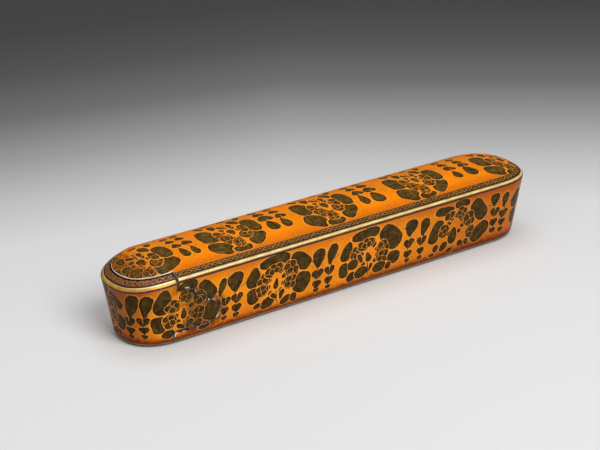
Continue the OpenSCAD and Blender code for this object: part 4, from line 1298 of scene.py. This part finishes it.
# penknife: bone handle with ringed ends, brass ferrule, ground steel blade lying flat
def makeKnife(y, r):
    length, bladeLength = writingSet["handleShare"] * bayLength, writingSet["bladeShare"] * bayLength
    tang, tangLength, ferruleLength = 0.26 * r, 0.36 * length, 1.3 * r
    z = bedHeight + r + writingSet["lift"]
    swell = [(0.92, 0.6 * r), (0.985, length * 0.16), (1.0, length * 0.3), (0.93, length * 0.55),
             (0.82, length * 0.8), (0.775, length * 0.93)]
    handle = [(0, 0), (0.4 * r, 0.02 * r), (0.68 * r, 0.1 * r), (0.84 * r, 0.26 * r), (0.9 * r, 0.42 * r)]
    handle += flowing([(share * r, h) for share, h in swell])
    for h in (length * 0.94, length * 0.965):
        handle += [(0.772 * r, h - 0.5), (0.71 * r, h - 0.15), (0.71 * r, h + 0.15), (0.77 * r, h + 0.5)]
    handle += [(0.76 * r, length), (tang, length), (tang, length - tangLength), (0, length - tangLength)]
    handle = placed(turned(handle, 48), (bayStart, y, z), "X")
    addPiece(handle, "knifeHandle", "agedBone", "drawer", "knife_handle")
    beads = [(0.8, 0), (0.82, 0.1), (0.8, 0.22), (0.73, 0.26), (0.73, 0.4), (0.79, 0.45), (0.79, 0.55),
             (0.71, 0.6), (0.7, 0.84), (0.73, 0.88), (0.7, 0.97), (0.64, 1.0)]
    ferrule = [(tang, 0)] + [(share * r, h * ferruleLength) for share, h in beads]
    ferrule = placed(turned(ferrule + [(tang, ferruleLength), (tang, 0)], 48), (bayStart + length, y, z), "X")
    addPiece(ferrule, "knifeFerrule", "castBrass", "drawer", "knife_ferrule")
    back, edge, half = 0.68 * r, -0.84 * r, tang / 2
    outline = [(0, 0.9 * edge), (2 * tang, edge), (0.8 * bladeLength, edge),
               (0.85 * bladeLength, 0.84 * edge), (0.9 * bladeLength, 0.45 * edge), (bladeLength, back),
               (2 * tang, back), (0, 0.9 * back)]
    bm = extruded([(u, v, -half) for u, v in outline], (0, 0, 2 * half))
    for where, aim in (((0, 0.1 * edge * mm, 0), (0, 1, 0)), ((1.6 * tang * mm, 0, 0), (1, 0, 0))):
        sliced(bm, where, aim)
    for v in bm.verts:  # grind the blade to an edge below the line
        if v.co.y < 0.12 * edge * mm and v.co.x > 1.8 * tang * mm:
            v.co.z *= 0.1 + 0.9 * max(0.0, 1 - v.co.y / (edge * mm))
    bmesh.ops.recalc_face_normals(bm, faces=bm.faces)
    thick, end = tang * 0.96, ferruleLength + tang
    shank = turned([(0, -tangLength + 0.2), (thick, -tangLength + 0.6), (thick, end), (0, end)], 24)
    blade = combined(placed(bm, (ferruleLength, 0, 0)), "UNION", [placed(shank, (0, 0, 0), "X")])
    blade = placed(blade, (bayStart + length, y, z))
    addPiece(blade, "knifeBlade", "forgedSteel", "drawer", "knife_blade", 0.06)


# bone rest for cutting nibs: a slab with rounded ends, lines cut along it and a grooved ledge for the reed
def makeNibRest():
    t, length, height = writingSet["rest"] * bayWidth, 0.57 * penLength, 0.33 * bayWidth
    low = 0.2 * t
    slab = block((0, -t, low), (length, 0, low + height))
    bevelled(slab, [e for e in slab.edges if abs(e.verts[0].co.y - e.verts[1].co.y) > 1e-5], 2.4, 6)
    ledge = block((0.68 * length, -1.6 * t, low + 0.2 * height),
                  (0.86 * length, -0.5 * t, low + 0.76 * height), 0.0, 0.4)
    groove = placed(rod(1.5, length, 32), (0.5 * length, -1.75 * t, low + 0.55 * height), "X")
    lines = [block((0.05 * length, -t - 1, h), (0.62 * length, -t + 0.22, h + 0.3))
             for h in (low + 0.14 * height, low + 0.82 * height)]
    bm = combined(combined(slab, "UNION", [ledge]), "DIFFERENCE", [groove] + lines)
    tilted(bm, (bayStart + 4, bayHalf - 0.15, bedHeight), -leanAngle, "X")
    addPiece(bm, "nibRest", "agedBone", "drawer", "nib_rest", 0.18)


# small brass spoon for wetting the ink
def makeSpoon(y):
    r, reach = writingSet["spoon"] * bayWidth, 0.15 * penLength
    bowl = ([(r * cos(radians(a)), r * sin(radians(a))) for a in range(-90, -3, 6)]
            + [(r, -0.05 * r), (0.96 * r, 0), (0.87 * r, 0), (0.83 * r, -0.06 * r)]
            + [(0.83 * r * cos(radians(a)), 0.83 * r * sin(radians(a))) for a in range(-10, -91, -8)])
    n = 0.21 * r
    stem = flowing([(0.8 * n, 0), (0.62 * n, 0.2 * reach), (0.6 * n, 0.6 * reach), (0.72 * n, 0.88 * reach)])
    stem = [(0, 0)] + stem
    stem += [(0.98 * n, 0.93 * reach), (0.98 * n, 0.96 * reach), (0.7 * n, 0.985 * reach), (0, reach)]
    stem = placed(turned(stem, 28), (0.86 * r, 0, -0.22 * r), "X")
    spoon = combined(turned(bowl, 56), "UNION", [stem])
    x = bayStart + penLength * 0.97 - reach - 0.86 * r
    spoon = placed(spoon, (x, y, bedHeight + 1.04 * r))
    addPiece(spoon, "inkSpoon", "castBrass", "drawer", "ink_spoon")


broadRadius, fineRadius = (pen["radius"] * bayWidth for pen in writingSet["pens"].values())
knifeRadius = writingSet["knife"] * bayWidth
penY = -bayHalf + writingSet["wallGap"] * broadRadius
fineY = penY + broadRadius + fineRadius + writingSet["penGap"] * bayWidth
knifeY = fineY + fineRadius + knifeRadius + writingSet["knifeGap"] * bayWidth
makePen("reedPenBroad", broadRadius, penY)
makePen("reedPenFine", fineRadius, fineY)
makeKnife(knifeY, knifeRadius)
makeNibRest()
makeSpoon(knifeY)

# CAD nodes that keep their shape, with a finish each
keptNodes = {"case_base": "footLacquer", "head_base": "footLacquer", "tray_floor": "innerLacquer"}
for node, name in keptNodes.items():
    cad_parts[node].data.materials.clear()
    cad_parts[node].data.materials.append(finish[name])

# studio: pale floor that falls off to grey behind the box, soft light, camera at the photo's angle
studio = {
    "azimuth": -37.412,
    "elevation": 22.193,
    "eye": (-0.51738, -0.65722, 0.36902),
    "lens": 114.0,
    # metres behind the box, and the floor's tone there: painted shade, pale near the box and grey further
    # back
    "floor": ((-0.3, "#d6d6d6"), (-0.02, "#e3e3e3"), (0.1, "#e2e2e2"), (0.165, "#cdcdcd"), (0.235, "#a6a6a6"),
              (0.31, "#787878"), (0.4, "#5a5a5a"), (0.5, "#4a4a4a")),
    "leftFall": (0.02, 0.3, 0, 0.13),  # metres to the left, and how much further back the tone is there: painted shade, darker towards the left
    # power in watts, size and place in metres
    "lamps": {"keyLight": (10.7, 0.8, (-0.12, -0.8, 0.85)), "topLight": (4.4, 1.0, (0.05, 0.15, 1.2)),
              "fillLight": (2.0, 0.9, (-0.85, -0.35, 0.8))},
    "aim": (0, 0, 0.02),
    "sky": 0.14,
}


def makeStudio():
    scene = bpy.context.scene
    scene.view_settings.view_transform = "Standard"
    az, el = radians(studio["azimuth"]), radians(studio["elevation"])
    back = Vector((sin(az) * cos(el), -cos(az) * cos(el), sin(el)))
    lens = bpy.data.cameras.new("camera")
    lens.lens, lens.sensor_width, lens.clip_end = studio["lens"], 36.0, 20.0
    camera = bpy.data.objects.new("camera", lens)
    camera.location = studio["eye"]
    camera.rotation_euler = (-back).to_track_quat("-Z", "Y").to_euler()
    scene.collection.objects.link(camera)
    scene.camera = camera

    material, add = startMaterial("studioFloor", roughness=0.9)
    # the floor's tone is painted shade: it darkens behind the box, towards the left and a little in front
    place = add("TexCoord").node.outputs["Object"]
    away = add("VectorMath.DOT_PRODUCT", place, (-sin(az), cos(az), 0))
    left = add("VectorMath.DOT_PRODUCT", place, (-cos(az), -sin(az), 0))
    away = add("Math.ADD", away, add("MapRange", left, *studio["leftFall"]))
    first, last = studio["floor"][0][0], studio["floor"][-1][0]
    tone = add("ValToRGB", add("MapRange", away, first, last))
    stops = tone.node.color_ramp.elements
    for k, (distance, colour) in enumerate(studio["floor"]):
        share = (distance - first) / (last - first)
        stop = stops[0] if k == 0 else stops[-1] if share == 1 else stops.new(share)
        stop.color = linear(colour)
    tree = material.node_tree
    tree.links.new(tone, tree.nodes["Principled BSDF"].inputs["Base Color"])
    bm = bmesh.new()
    bmesh.ops.create_grid(bm, x_segments=1, y_segments=1, size=4)
    floor = toObject(bm, "studioFloor", [material])

    for name, (power, size, place) in studio["lamps"].items():
        light = bpy.data.lights.new(name, "AREA")
        light.shape, light.size, light.energy = "DISK", size, power
        lamp = bpy.data.objects.new(name, light)
        lamp.location = place
        lamp.rotation_euler = (Vector(studio["aim"]) - Vector(place)).to_track_quat("-Z", "Y").to_euler()
        scene.collection.objects.link(lamp)
    world = bpy.data.worlds.new("studioSky")
    world.use_nodes = True
    world.node_tree.nodes["Background"].inputs["Color"].default_value = (1, 1, 1, 1)
    world.node_tree.nodes["Background"].inputs["Strength"].default_value = studio["sky"]
    scene.world = world


makeStudio()
print("studio set")
